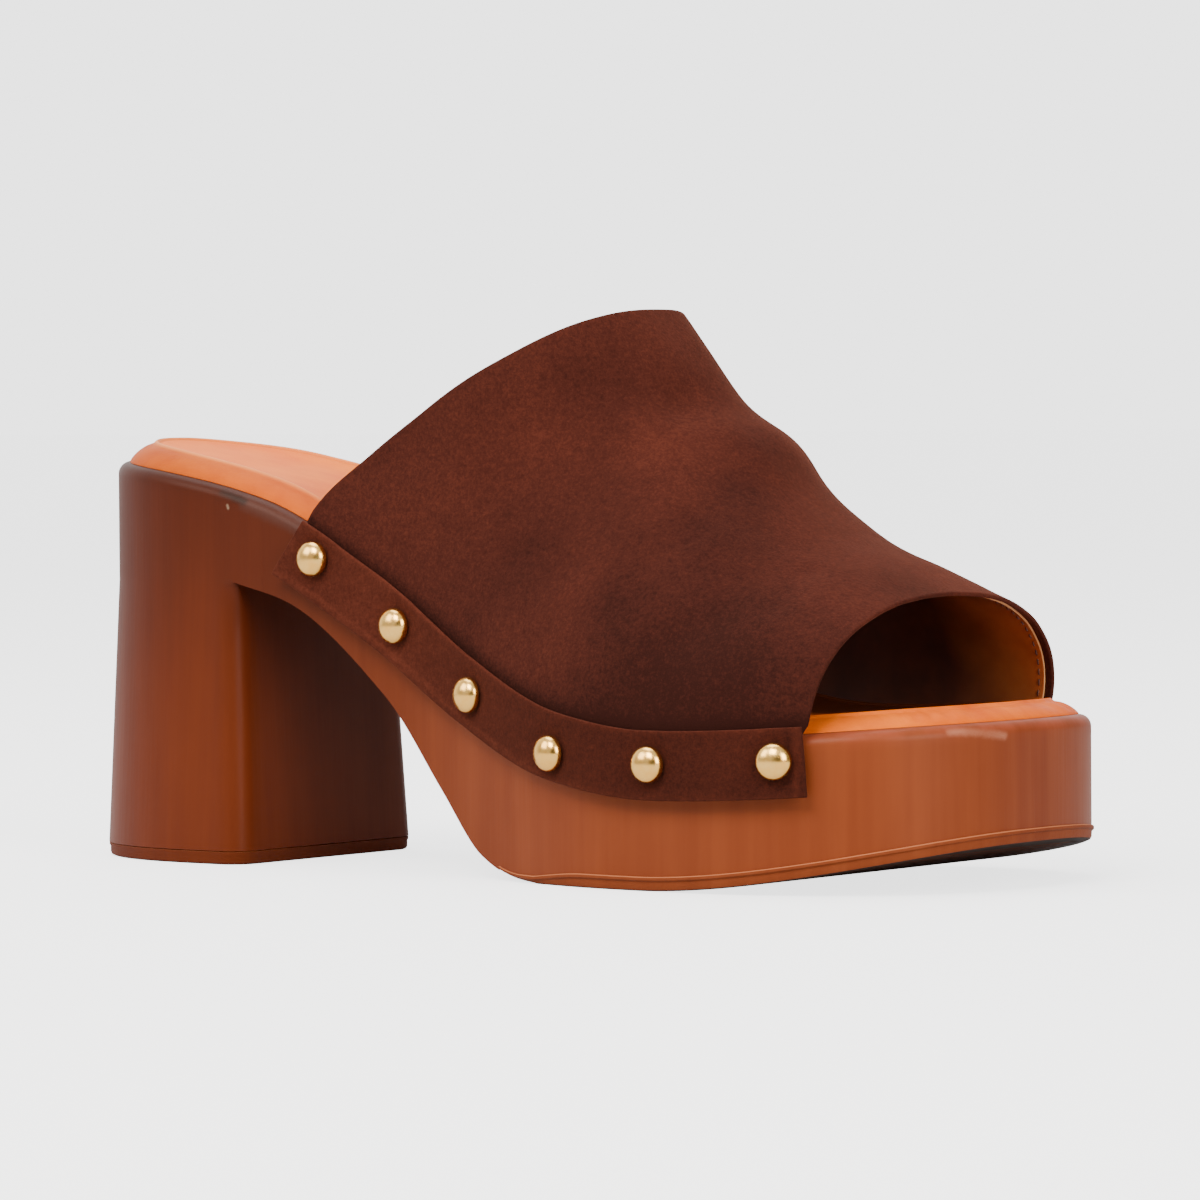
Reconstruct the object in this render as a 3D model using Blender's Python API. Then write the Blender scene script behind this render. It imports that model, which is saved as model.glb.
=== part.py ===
"""Open-toed slip-on mule for the right foot, on a moulded platform sole with a block heel.

Metres, +Z up, toes towards +X, inner side of the foot towards +Y. The pieces are shaped along the sole,
from 0 at the back of the heel, and hang from one empty that puts the middle of the heel tread at the origin.
"""

import math
from collections import namedtuple

import bmesh
import bpy
import numpy as np
from mathutils import Matrix, Vector

# Gap that touching pieces keep between them
SEAT_GAP = 0.0003

# Sole: lengths run along the floor, widths across it, heights up from it
SOLE_LENGTH = 0.236
SEAT_WIDTH = 0.058
WAIST_WIDTH = 0.062
BALL_WIDTH = 0.0915
TOE_WIDTH = 0.096
HEEL_HEIGHT = 0.0885
PLATFORM_HEIGHT = 0.0315
WAIST_THICKNESS = 0.0200
TOE_SPRING = 0.0095
TOE_LIFT = 0.0032
SEAT_ROUNDING = 0.038
OUTER_TOE_ROUNDING = 0.056
INNER_TOE_ROUNDING = 0.039
RIM_RADIUS = 0.0026

# Heel block and its tread
HEEL_DEPTH = 0.0495
HEEL_FOOT_DEPTH = 0.0555
HEEL_FOOT_WIDTH = 0.0635
HEEL_EDGE_RADIUS = 0.0050
TREAD_THICKNESS = 0.0030
TREAD_EDGE = 0.0008
TREAD_INSET = 0.0003

# Flat stretch of the underside that stands on the floor, from its start behind the ball
FLAT_START = 0.1400
FLAT_LENGTH = 0.0300

# Forepart tread: it starts a little behind the flat stretch with a thin tip
TREAD_OVERLAP = 0.0120
TREAD_TIP = 0.0009
TREAD_TAPER = 0.0280
TREAD_STEP = 0.0012

# Insole
INSOLE_INSET = 0.0026
INSOLE_HEIGHT = 0.0040
INSOLE_TOE_HEIGHT = 0.0026
INSOLE_EDGE_HEIGHT = 0.0008
INSOLE_BORDER = 0.0075
SEAT_CUP = 0.0020

# Upper: one arched wall, its lower margins nailed to the sides of the sole
UPPER_WALL = 0.0015
OUTER_COLLAR_FOOT = 0.0706
INNER_COLLAR_FOOT = 0.0740
TOE_EDGE_SETBACK = 0.0262
COLLAR_TOP = 0.1406
TOE_TOP_SETBACK = 0.0215
COLLAR_HEIGHT = 0.1203
TOE_ARCH_HEIGHT = 0.0271
RIDGE_SIDE = 0.0045

# Stud bands and their nails
BAND_WIDTH = 0.0143
BAND_RISE = 0.0017
BAND_WALL = 0.0013
BAND_SETBACK = 0.0008
BAND_SLANT = 0.0026
MARGIN_SHORT = 0.0010
STUD_RADIUS = 0.0038
STUD_HEIGHT = 0.0029
STUD_REAR_END = 0.0068
STUD_FRONT_END = 0.0058

# Fineness of the skins
STATIONS = 44
CORNER_STEPS = 3
BAND_STEPS = 26
ARCH_STEPS = 16
UPPER_STEPS = 20
STUD_SIDES = 16
STUD_RINGS = 4

Plan = namedtuple("Plan", "along width outer")
PLAN = (
    Plan(along=0.00, width=SEAT_WIDTH, outer=0.52),
    Plan(along=0.16, width=SEAT_WIDTH, outer=0.52),
    Plan(along=0.40, width=WAIST_WIDTH, outer=0.50),
    Plan(along=0.69, width=BALL_WIDTH, outer=0.51),
    Plan(along=1.00, width=TOE_WIDTH, outer=0.48),
)

# How far the rim stands above its height at the ball, as a share of the heel's pitch,
# and the lift towards the toe as a share of TOE_LIFT
Rim = namedtuple("Rim", "along pitch lift")
RIM = (
    Rim(along=0.00, pitch=1.00, lift=0.0),
    Rim(along=0.12, pitch=0.95, lift=0.0),
    Rim(along=0.24, pitch=0.845, lift=0.0),
    Rim(along=0.38, pitch=0.56, lift=0.0),
    Rim(along=0.52, pitch=0.235, lift=0.0),
    Rim(along=0.64, pitch=0.052, lift=0.0),
    Rim(along=0.74, pitch=0.00, lift=0.0),
    Rim(along=1.00, pitch=0.00, lift=1.0),
)

# Underside of the waist from the breast of the heel, at 0, to the start of the flat stretch, at 1,
# as a share of its height at the breast
Waist = namedtuple("Waist", "along height")
WAIST = (
    Waist(along=0.00, height=1.000),
    Waist(along=0.17, height=0.930),
    Waist(along=0.46, height=0.620),
    Waist(along=0.65, height=0.300),
    Waist(along=0.80, height=0.080),
    Waist(along=0.92, height=0.015),
    Waist(along=1.00, height=0.000),
)
TOE_CURVE = 1.7

# Arches of the upper from the collar, at 0, to the toe edge, at 1. Along and height say where the top of
# the arch lies between its two named ends, full_outer and full_inner are the squareness of each flank,
# and slant is how long the flank rises before it leans forwards.
Arch = namedtuple("Arch", "share along height full_outer full_inner slant")
ARCHES = (
    Arch(share=0.00, along=0.00, height=0.00, full_outer=3.20, full_inner=2.8, slant=1.26),
    Arch(share=0.35, along=0.28, height=0.405, full_outer=2.25, full_inner=2.4, slant=1.28),
    Arch(share=0.70, along=0.63, height=0.79, full_outer=2.15, full_inner=2.3, slant=1.18),
    Arch(share=0.88, along=0.855, height=0.915, full_outer=2.20, full_inner=2.3, slant=0.96),
    Arch(share=1.00, along=1.00, height=1.00, full_outer=2.30, full_inner=2.3, slant=0.80),
)

# Nails of one band: along is the share of the way from the first to the last, across the share of the
# band's width below its upper edge. They were set by hand, so they aren't quite in line.
Nail = namedtuple("Nail", "along across")
NAILS = (
    Nail(along=0.000, across=0.40),
    Nail(along=0.200, across=0.46),
    Nail(along=0.405, across=0.50),
    Nail(along=0.612, across=0.60),
    Nail(along=0.795, across=0.48),
    Nail(along=1.000, across=0.47),
)

Finish = namedtuple("Finish", "color roughness metallic")
FINISHES = {
    "moulded_wood": Finish(color=(0.30, 0.085, 0.035, 1), roughness=0.42, metallic=0.0),
    "tread_rubber": Finish(color=(0.26, 0.075, 0.032, 1), roughness=0.60, metallic=0.0),
    "tan_leather": Finish(color=(0.68, 0.27, 0.10, 1), roughness=0.50, metallic=0.0),
    "brown_suede": Finish(color=(0.105, 0.028, 0.016, 1), roughness=0.95, metallic=0.0),
    "gold_nail": Finish(color=(0.95, 0.72, 0.38, 1), roughness=0.16, metallic=1.0),
}

OUTER, INNER = -1, 1


def curve_through(rows, column):
    """Smooth curve through one column of a table against its first. It never overshoots between two rows."""
    at = np.array([row[0] for row in rows])
    value = np.array([getattr(row, column) for row in rows])
    step = np.diff(at)
    rise = np.diff(value) / step
    slope = np.zeros(len(at))
    slope[0], slope[-1] = rise[0], rise[-1]
    for i in range(1, len(at) - 1):
        if rise[i - 1] * rise[i] > 0:
            near, far = step[i] + 2 * step[i - 1], 2 * step[i] + step[i - 1]
            slope[i] = (near + far) / (near / rise[i - 1] + far / rise[i])

    def value_at(x):
        i = int(np.clip(np.searchsorted(at, x) - 1, 0, len(step) - 1))
        t = (np.clip(x, at[0], at[-1]) - at[i]) / step[i]
        return float(
            value[i] * (1 + 2 * t) * (1 - t) ** 2
            + slope[i] * step[i] * t * (1 - t) ** 2
            + value[i + 1] * t * t * (3 - 2 * t)
            + slope[i + 1] * step[i] * t * t * (t - 1)
        )

    return value_at


plan_width = curve_through(PLAN, "width")
plan_outer = curve_through(PLAN, "outer")
rim_pitch = curve_through(RIM, "pitch")
rim_lift = curve_through(RIM, "lift")
waist_height = curve_through(WAIST, "height")


def rounded_end(distance, length, squareness):
    """Share of its full width that an outline has at a distance from its rounded end."""
    if distance >= length:
        return 1.0
    return (1 - (1 - max(distance, 0) / length) ** squareness) ** (1 / squareness)


def half_width(side, x):
    """How far the wall of the sole stands from the long axis on one side, at x along the sole."""
    share = plan_outer(x / SOLE_LENGTH)
    width = plan_width(x / SOLE_LENGTH) * (share if side == OUTER else 1 - share)
    toe = OUTER_TOE_ROUNDING if side == OUTER else INNER_TOE_ROUNDING
    return width * rounded_end(x, SEAT_ROUNDING, 2.2) * rounded_end(SOLE_LENGTH - x, toe, 2.5)


def rim(x):
    """Height of the platform's top edge above the floor."""
    share = x / SOLE_LENGTH
    return PLATFORM_HEIGHT + rim_pitch(share) * (HEEL_HEIGHT - PLATFORM_HEIGHT) + rim_lift(share) * TOE_LIFT


def underside(x):
    """Height of the lower face above the floor, from the breast of the heel to the toe."""
    if x < FLAT_START:
        breast = rim(HEEL_DEPTH) - WAIST_THICKNESS
        return breast * waist_height((x - HEEL_DEPTH) / (FLAT_START - HEEL_DEPTH))
    flat_end = FLAT_START + FLAT_LENGTH
    return TOE_SPRING * (max(0, x - flat_end) / (SOLE_LENGTH - flat_end)) ** TOE_CURVE


def tread_start():
    return FLAT_START - TREAD_OVERLAP


def tread_thickness(x):
    """Thickness of the forepart tread, which thins to a tip at its rear end."""
    into = min(1, (x - tread_start()) / TREAD_TAPER)
    return TREAD_TIP + (TREAD_THICKNESS - TREAD_TIP) * into * into * (3 - 2 * into)


def stations(start, end):
    """Places along the sole, closer together where its outline turns."""
    first, last = 0.35, STATIONS - 0.35
    steps = [first, *range(1, STATIONS), last]
    places = [SOLE_LENGTH * (1 - math.cos(math.pi * step / STATIONS)) / 2 for step in steps]
    return [x for x in places if start <= x <= end]


def wall_direction(side, x):
    """Outward direction of the sole's wall, seen from above."""
    reach = 0.00002
    ahead, behind = min(x + reach, SOLE_LENGTH), max(x - reach, 0)
    across = half_width(side, ahead) - half_width(side, behind)
    return Vector((-across, side * (ahead - behind), 0)).normalized()


def wall_point(side, x, out, z):
    """Point at x along the sole, out beyond its wall, at height z."""
    return Vector((x, side * half_width(side, x), z)) + wall_direction(side, x) * out


def finish_of(name):
    material = bpy.data.materials.get(name) or bpy.data.materials.new(name)
    material.use_nodes = True
    shader = material.node_tree.nodes["Principled BSDF"]
    shader.inputs["Base Color"].default_value = FINISHES[name].color
    shader.inputs["Roughness"].default_value = FINISHES[name].roughness
    shader.inputs["Metallic"].default_value = FINISHES[name].metallic
    material.diffuse_color = FINISHES[name].color
    return material


def add_object(name, points, faces, finish, parent):
    """A named object from points and faces, with its normals turned outwards."""
    mesh = bpy.data.meshes.new(name)
    mesh.from_pydata([tuple(point) for point in points], [], faces)
    skin = bmesh.new()
    skin.from_mesh(mesh)
    bmesh.ops.recalc_face_normals(skin, faces=skin.faces)
    skin.to_mesh(mesh)
    skin.free()
    mesh.materials.append(finish_of(finish))
    mesh.shade_smooth()
    mesh.set_sharp_from_angle(angle=math.radians(35))
    made = bpy.data.objects.new(name, mesh)
    bpy.context.scene.collection.objects.link(made)
    made.parent = parent
    return made


def ring_faces(rings):
    """Quads between neighbouring closed rings of equal length, with both ends filled."""
    count = len(rings[0])
    faces = []
    for i in range(len(rings) - 1):
        for k in range(count):
            after = (k + 1) % count
            faces.append((i * count + k, i * count + after, (i + 1) * count + after, (i + 1) * count + k))
    faces.append(tuple(range(count)))
    faces.append(tuple((len(rings) - 1) * count + k for k in range(count)))
    return faces


def flank(side, x, bottom):
    """One side of the sole at x, from its bottom edge up over the rounded rim."""
    top = rim(x)
    rows = [(0, bottom), (0, (bottom + top - RIM_RADIUS) / 2)]
    for step in range(CORNER_STEPS + 1):
        turn = math.pi / 2 * step / CORNER_STEPS
        rows.append((RIM_RADIUS * (math.cos(turn) - 1), top - RIM_RADIUS + RIM_RADIUS * math.sin(turn)))
    return [wall_point(side, x, out, z) for out, z in rows]


def across(start, end):
    """The two points between the ends of a straight line."""
    return [start.lerp(end, 1 / 3), start.lerp(end, 2 / 3)]


def sole_places():
    """Places along the sole unit, with those of the heel's front corners and of the step for the tread."""
    corner = [HEEL_DEPTH - HEEL_EDGE_RADIUS * (1 - math.sin(math.pi / 2 * k / 4)) for k in range(5)]
    special = [*corner, tread_start() - TREAD_STEP, tread_start()]
    usual = [x for x in stations(0, SOLE_LENGTH) if all(abs(x - s) > TREAD_STEP for s in special)]
    return sorted(usual + special)


def sole_bottom(x):
    """Bottom edge of the moulded sole: it leaves room for the forepart tread."""
    if x <= HEEL_DEPTH:
        return underside(HEEL_DEPTH)
    if x < tread_start():
        return underside(x)
    return underside(x) + tread_thickness(x) + SEAT_GAP


def heel_point(point, level, corner):
    """Moves a point of the heel's outline down to a level, from 0 under the seat to 1 at the floor."""
    top = underside(HEEL_DEPTH)
    floor = TREAD_THICKNESS + SEAT_GAP
    middle = HEEL_DEPTH / 2
    x = middle + (point.x - middle) * (1 + (HEEL_FOOT_DEPTH / HEEL_DEPTH - 1) * level)
    y = point.y * (1 + (HEEL_FOOT_WIDTH / SEAT_WIDTH - 1) * level)
    return Vector((x, y - math.copysign(corner, y), top + (floor - top) * level))


def heel_corner(x):
    """How far the rounded front corner of the heel draws in at x."""
    into = max(0, x - (HEEL_DEPTH - HEEL_EDGE_RADIUS))
    return HEEL_EDGE_RADIUS - math.sqrt(max(0, HEEL_EDGE_RADIUS**2 - into**2))


def heel_loop(places, level, rounding):
    """Outline of the heel block at a level: outer side forwards, across the breast, inner side back."""
    sides = []
    for side in (OUTER, INNER):
        sides.append(
            [heel_point(wall_point(side, x, 0, 0), level, heel_corner(x) * rounding) for x in places]
        )
    outer, inner = sides
    return outer + across(outer[-1], inner[-1]) + inner[::-1]


def add_sole_unit(parent):
    """Platform and heel block, moulded in one piece: a skin along the sole, drawn down to the floor at the heel."""
    places = sole_places()
    breast = places.index(HEEL_DEPTH)
    points, rings = [], []
    for i, x in enumerate(places):
        outer, inner = (flank(side, x, sole_bottom(x)) for side in (OUTER, INNER))
        ring = outer + across(outer[-1], inner[-1]) + inner[::-1]
        if i >= breast:
            ring += across(inner[0], outer[0])
        rings.append(list(range(len(points), len(points) + len(ring))))
        points += ring

    rows = CORNER_STEPS + 3
    arched = 2 * rows + 2
    faces = []
    for i in range(len(rings) - 1):
        full = i >= breast
        last = len(rings[i + 1]) if full else arched - 1
        for k in range(last):
            after = (k + 1) % len(rings[i]) if full else k + 1
            faces.append((rings[i][k], rings[i][after], rings[i + 1][after], rings[i + 1][k]))

    back = rings[0]
    for k in range(rows - 2):
        faces.append((back[k], back[k + 1], back[arched - 2 - k], back[arched - 1 - k]))
    faces.append(tuple(back[k] for k in range(rows - 2, arched - rows + 2)))
    faces.append(tuple(rings[-1]))

    seam = [rings[i][0] for i in range(breast + 1)]
    seam += [rings[breast][k] for k in (arched + 1, arched)]
    seam += [rings[i][arched - 1] for i in range(breast, -1, -1)]
    for level, rounding in ((0.05, 0.6), (0.10, 0.9), (0.16, 1.0), (0.6, 1.0), (1.0, 1.0)):
        loop = heel_loop(places[: breast + 1], level, rounding)
        lower = list(range(len(points), len(points) + len(loop)))
        points += loop
        for k in range(len(seam)):
            after = (k + 1) % len(seam)
            faces.append((seam[k], seam[after], lower[after], lower[k]))
        seam = lower
    faces.append(tuple(seam))
    return add_object("sole_unit", points, faces, "moulded_wood", parent)


def add_heel_tread(parent):
    """Tread nailed under the heel, a little drawn in at its lower edge."""
    places = [x for x in sole_places() if x <= HEEL_DEPTH]
    outline = heel_loop(places, 1.0, 1.0)
    centre = Vector((HEEL_DEPTH / 2, 0, 0))
    loops = []
    for inset, z in ((TREAD_INSET, TREAD_THICKNESS), (TREAD_INSET, TREAD_EDGE), (TREAD_EDGE, 0)):
        loop = []
        for point in outline:
            flat = Vector((point.x, point.y, 0)) - centre
            loop.append(centre + flat * (1 - inset / flat.length) + Vector((0, 0, z)))
        loops.append(loop)
    points = [point for loop in loops for point in loop]
    return add_object("heel_tread", points, ring_faces(loops), "tread_rubber", parent)


def add_forepart_tread(parent):
    """Tread under the forepart: thin at its rear end, flat under the ball and turned up at the toe."""
    start = tread_start() + SEAT_GAP
    rings = []
    for x in [start, *stations(start + TREAD_STEP, SOLE_LENGTH)]:
        low, thickness = underside(x), tread_thickness(x)
        edge = min(TREAD_EDGE, thickness / 2)
        rows = ((-edge, low), (0, low + edge), (0, low + thickness))
        outer, inner = ([wall_point(side, x, out, z) for out, z in rows] for side in (OUTER, INNER))
        rings.append(outer + inner[::-1])
    points = [point for ring in rings for point in ring]
    return add_object("forepart_tread", points, ring_faces(rings), "tread_rubber", parent)


def add_insole(parent):
    """Padded insole: a sloping border round a flat bed that is cupped under the heel."""
    places = stations(0, SOLE_LENGTH)
    rings = []
    for x in places:
        thickness = INSOLE_HEIGHT + (INSOLE_TOE_HEIGHT - INSOLE_HEIGHT) * x / SOLE_LENGTH
        flanks = []
        for side in (OUTER, INNER):
            rows = (
                (0, SEAT_GAP),
                (0, INSOLE_EDGE_HEIGHT),
                (0.25 * INSOLE_BORDER, 0.62 * thickness),
                (0.60 * INSOLE_BORDER, 0.95 * thickness),
                (INSOLE_BORDER, thickness),
            )
            flank_points = []
            for inwards, up in rows:
                point = wall_point(side, x, -INSOLE_INSET - inwards, 0)
                flank_points.append(Vector((point.x, point.y, rim(x) + up)))
            flanks.append(flank_points)
        outer, inner = flanks
        bed = across(outer[-1], inner[-1])
        cup = SEAT_CUP * max(0, 1 - x / (0.45 * SOLE_LENGTH)) * min(1, x / SEAT_ROUNDING)
        for point in bed:
            point.z -= cup
        rings.append(outer + bed + inner[::-1])
    points = [point for ring in rings for point in ring]
    return add_object("insole", points, ring_faces(rings), "tan_leather", parent)


def rim_slope(x):
    reach = 0.0005
    return (rim(x + reach) - rim(x - reach)) / (2 * reach)


def below_rim(side, x, down, out):
    """Point square below the rim on the sole's wall, by a distance down, and out beyond the wall."""
    slope = rim_slope(x)
    along = Vector((1, slope)).normalized()
    at = x + down * along.y
    return wall_point(side, at, out, rim(x) - down * along.x)


def upper_foot(side, share, down):
    """Point of the upper's outer face beside the sole, from the collar at 0 to the toe edge at 1."""
    start = OUTER_COLLAR_FOOT if side == OUTER else INNER_COLLAR_FOOT
    end = SOLE_LENGTH - TOE_EDGE_SETBACK
    return below_rim(side, start + (end - start) * share, down, SEAT_GAP + UPPER_WALL)


arch_along = curve_through(ARCHES, "along")
arch_height = curve_through(ARCHES, "height")
arch_outer = curve_through(ARCHES, "full_outer")
arch_inner = curve_through(ARCHES, "full_inner")
arch_slant = curve_through(ARCHES, "slant")


def arch_apex(share):
    """Top of the arch at a share of the way from the collar to the toe edge."""
    toe_top = SOLE_LENGTH - TOE_TOP_SETBACK
    toe_height = rim(toe_top) + TOE_ARCH_HEIGHT
    return Vector(
        (
            COLLAR_TOP + (toe_top - COLLAR_TOP) * arch_along(share),
            RIDGE_SIDE,
            COLLAR_HEIGHT + (toe_height - COLLAR_HEIGHT) * arch_height(share),
        )
    )


def half_arch(side, share):
    """Points from the foot of the upper on one side to just short of its apex."""
    foot, apex = upper_foot(side, share, -BAND_RISE), arch_apex(share)
    power = 2 / (arch_outer(share) if side == OUTER else arch_inner(share))
    points = []
    for step in range(ARCH_STEPS):
        turn = math.pi / 2 * step / ARCH_STEPS
        rise, draw = math.sin(turn) ** power, 1 - math.cos(turn) ** power
        forward = rise ** arch_slant(share)
        points.append(
            Vector(
                (
                    foot.x + (apex.x - foot.x) * forward,
                    foot.y + (apex.y - foot.y) * draw,
                    foot.z + (apex.z - foot.z) * rise,
                )
            )
        )
    return points


def upper_section(share):
    """The upper's outer face across the foot: up from one margin, over the arch and down to the other."""
    sides = []
    for side in (OUTER, INNER):
        margin = [upper_foot(side, share, (BAND_WIDTH - BAND_RISE - MARGIN_SHORT) * part) for part in (1, 0.5, 0)]
        sides.append(margin + half_arch(side, share))
    return sides[0] + [arch_apex(share)] + sides[1][::-1]


def add_upper(parent):
    """The upper: a sheet through its sections, given the thickness of suede and lining inwards."""
    sections = [upper_section(step / UPPER_STEPS) for step in range(UPPER_STEPS + 1)]
    count = len(sections[0])
    faces = []
    for i in range(UPPER_STEPS):
        for k in range(count - 1):
            faces.append((i * count + k, (i + 1) * count + k, (i + 1) * count + k + 1, i * count + k + 1))
    points = [point for section in sections for point in section]
    upper = add_object("upper", points, faces, "brown_suede", parent)
    top = upper.data.polygons[(UPPER_STEPS // 2) * (count - 1) + count // 2]
    if top.normal.z < 0:
        upper.data.flip_normals()
    wall = upper.modifiers.new("wall", "SOLIDIFY")
    wall.thickness = UPPER_WALL
    wall.offset = -1
    wall.use_even_offset = True
    return upper


def band_reach(side):
    """Where a stud band starts and ends along the rim."""
    start = OUTER_COLLAR_FOOT if side == OUTER else INNER_COLLAR_FOOT
    return start, SOLE_LENGTH - TOE_EDGE_SETBACK - BAND_SETBACK


def add_band(side, name, parent):
    """Strip of suede that covers the upper's margin on one side of the sole."""
    start, end = band_reach(side)
    inside = UPPER_WALL + 2 * SEAT_GAP
    outside = inside + BAND_WALL
    soft = BAND_WALL / 3
    low, high = BAND_WIDTH - BAND_RISE, -BAND_RISE
    section = (
        (low, inside),
        (low, outside - soft),
        (low - soft, outside),
        (high + soft, outside),
        (high, outside - soft),
        (high, inside),
    )
    rings = []
    for step in range(BAND_STEPS + 1):
        share = step / BAND_STEPS
        ring = []
        for down, out in section:
            back = BAND_SLANT * (1 - share) * (down - high) / BAND_WIDTH
            ring.append(below_rim(side, start + (end - start) * share - back, down, out))
        rings.append(ring)
    points = [point for ring in rings for point in ring]
    return add_object(name, points, ring_faces(rings), "brown_suede", parent)


def stud_mesh():
    """Domed nail head, flat at the back, its axis along +Z."""
    points, faces = [], []
    for ring in range(STUD_RINGS):
        turn = math.pi / 2 * ring / STUD_RINGS
        radius, height = STUD_RADIUS * math.cos(turn), STUD_HEIGHT * math.sin(turn)
        for k in range(STUD_SIDES):
            angle = 2 * math.pi * k / STUD_SIDES
            points.append((radius * math.cos(angle), radius * math.sin(angle), height))
    points.append((0, 0, STUD_HEIGHT))
    for ring in range(STUD_RINGS - 1):
        for k in range(STUD_SIDES):
            after = (k + 1) % STUD_SIDES
            low, high = ring * STUD_SIDES, (ring + 1) * STUD_SIDES
            faces.append((low + k, low + after, high + after, high + k))
    crown = (STUD_RINGS - 1) * STUD_SIDES
    for k in range(STUD_SIDES):
        faces.append((crown + k, crown + (k + 1) % STUD_SIDES, len(points) - 1))
    faces.append(tuple(range(STUD_SIDES))[::-1])
    mesh = bpy.data.meshes.new("stud")
    mesh.from_pydata(points, [], faces)
    mesh.materials.append(finish_of("gold_nail"))
    mesh.shade_smooth()
    mesh.set_sharp_from_angle(angle=math.radians(50))
    return mesh


def hollow_depth(side, x):
    """How deep the wall lies behind a stud's edges, where the sole's waist makes it hollow."""
    ahead, behind = half_width(side, x + STUD_RADIUS), half_width(side, x - STUD_RADIUS)
    return max(0, (ahead + behind) / 2 - half_width(side, x))


def add_studs(side, name, mesh, parent):
    """Row of nails along a band, spaced along the rim."""
    start, end = band_reach(side)
    fine = [start + (end - start) * step / 200 for step in range(201)]
    run = [0.0]
    for before, after in zip(fine, fine[1:]):
        run.append(run[-1] + (below_rim(side, after, 0, 0) - below_rim(side, before, 0, 0)).length)
    first, last = STUD_REAR_END, run[-1] - STUD_FRONT_END
    seat = UPPER_WALL + BAND_WALL + 3 * SEAT_GAP
    for number, nail in enumerate(NAILS, start=1):
        x = float(np.interp(first + (last - first) * nail.along, run, fine))
        point = below_rim(side, x, nail.across * BAND_WIDTH - BAND_RISE, seat + hollow_depth(side, x))
        stud = bpy.data.objects.new(f"{name}_{number}", mesh)
        bpy.context.scene.collection.objects.link(stud)
        stud.parent = parent
        facing = wall_direction(side, point.x).to_track_quat("Z", "Y").to_matrix().to_4x4()
        stud.matrix_local = Matrix.Translation(point) @ facing


def main():
    for old in list(bpy.data.objects):
        bpy.data.objects.remove(old, do_unlink=True)
    centre = bpy.data.objects.new("heel_tread_centre", None)
    bpy.context.scene.collection.objects.link(centre)
    centre.location = (-HEEL_DEPTH / 2, 0, 0)
    add_sole_unit(centre)
    add_heel_tread(centre)
    add_forepart_tread(centre)
    add_insole(centre)
    add_upper(centre)
    nail = stud_mesh()
    for side, name in ((OUTER, "outer"), (INNER, "inner")):
        add_band(side, f"band_{name}", centre)
        add_studs(side, f"stud_{name}", nail, centre)


main()
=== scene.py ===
"""Open-toed mule for the right foot: a moulded platform sole with a block heel, a padded insole, a suede
upper with a leather lining, and a suede band along each side that is held by six domed nails.

Metres, +Z up, toes towards +X, inner side of the foot towards +Y. Shapes are given along the sole, from 0 at
the back of the heel, and add_piece moves them so that the middle of the heel tread is the origin.
"""

import math
from collections import namedtuple

import bmesh
import bpy
import numpy as np
from mathutils import Matrix, Vector, noise
from mathutils.kdtree import KDTree


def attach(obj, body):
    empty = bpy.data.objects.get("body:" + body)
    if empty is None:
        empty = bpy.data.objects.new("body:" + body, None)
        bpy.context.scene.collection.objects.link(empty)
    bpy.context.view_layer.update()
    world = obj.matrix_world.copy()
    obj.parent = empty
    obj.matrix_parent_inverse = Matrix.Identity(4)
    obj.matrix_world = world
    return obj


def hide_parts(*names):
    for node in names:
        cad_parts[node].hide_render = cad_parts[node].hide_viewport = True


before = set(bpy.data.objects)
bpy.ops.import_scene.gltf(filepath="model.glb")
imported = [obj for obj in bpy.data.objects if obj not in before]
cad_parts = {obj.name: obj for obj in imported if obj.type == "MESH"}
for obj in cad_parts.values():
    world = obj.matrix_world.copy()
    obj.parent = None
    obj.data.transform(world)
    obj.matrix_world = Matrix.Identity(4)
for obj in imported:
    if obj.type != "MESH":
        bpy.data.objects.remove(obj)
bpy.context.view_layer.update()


# View. The shoe is seen from beside its toes, low down, a little above the height of the platform, with a
# long lens, so that its outer side and the toe opening both show.
VIEW_STAND = (0.8934, -1.0801, 0.0973)
VIEW_AIM = (0.0955, 0.0083, 0.0576)
VIEW_ROLL = math.radians(-0.4)
VIEW_LENS = 187

camera = bpy.data.objects.new("camera", bpy.data.cameras.new("camera"))
bpy.context.scene.collection.objects.link(camera)
camera.data.lens = VIEW_LENS
camera.data.clip_end = 100
camera.location = VIEW_STAND
facing = (Vector(VIEW_AIM) - Vector(VIEW_STAND)).to_track_quat("-Z", "Y").to_matrix()
camera.rotation_euler = (facing @ Matrix.Rotation(VIEW_ROLL, 3, "Z")).to_euler()
bpy.context.scene.camera = camera


# Sole unit. Platform and block heel are one moulding, finished to look like stacked wood: a brown lacquer
# with soft upright grain. Its rounded rim is rubbed pale, with a painted highlight that grows towards the
# toes;
# beside the seat painted shade darkens it, and it has small knocks.
SOLE_LENGTH = 0.236
SEAT_WIDTH = 0.058
WAIST_WIDTH = 0.062
BALL_WIDTH = 0.0915
TOE_WIDTH = 0.096
HEEL_HEIGHT = 0.0885
PLATFORM_HEIGHT = 0.0315
WAIST_THICKNESS = 0.0200
TOE_SPRING = 0.0095
TOE_LIFT = 0.0032
TOE_CURVE = 1.7
SEAT_ROUNDING = 0.038
OUTER_TOE_ROUNDING = 0.056
INNER_TOE_ROUNDING = 0.039
RIM_RADIUS = 0.0026
HEEL_DEPTH = 0.0495
HEEL_FOOT_DEPTH = 0.0555
HEEL_FOOT_WIDTH = 0.0635
HEEL_EDGE_RADIUS = 0.0050
TREAD_THICKNESS = 0.0030
FLAT_START = 0.1400
FLAT_LENGTH = 0.0300
TREAD_START = FLAT_START - 0.0120
TREAD_TIP = 0.0009
TREAD_TAPER = 0.0280
JOINT_GAP = 0.0003
OUTER, INNER = -1, 1
SIDES = {OUTER: "outer", INNER: "inner"}
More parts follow.
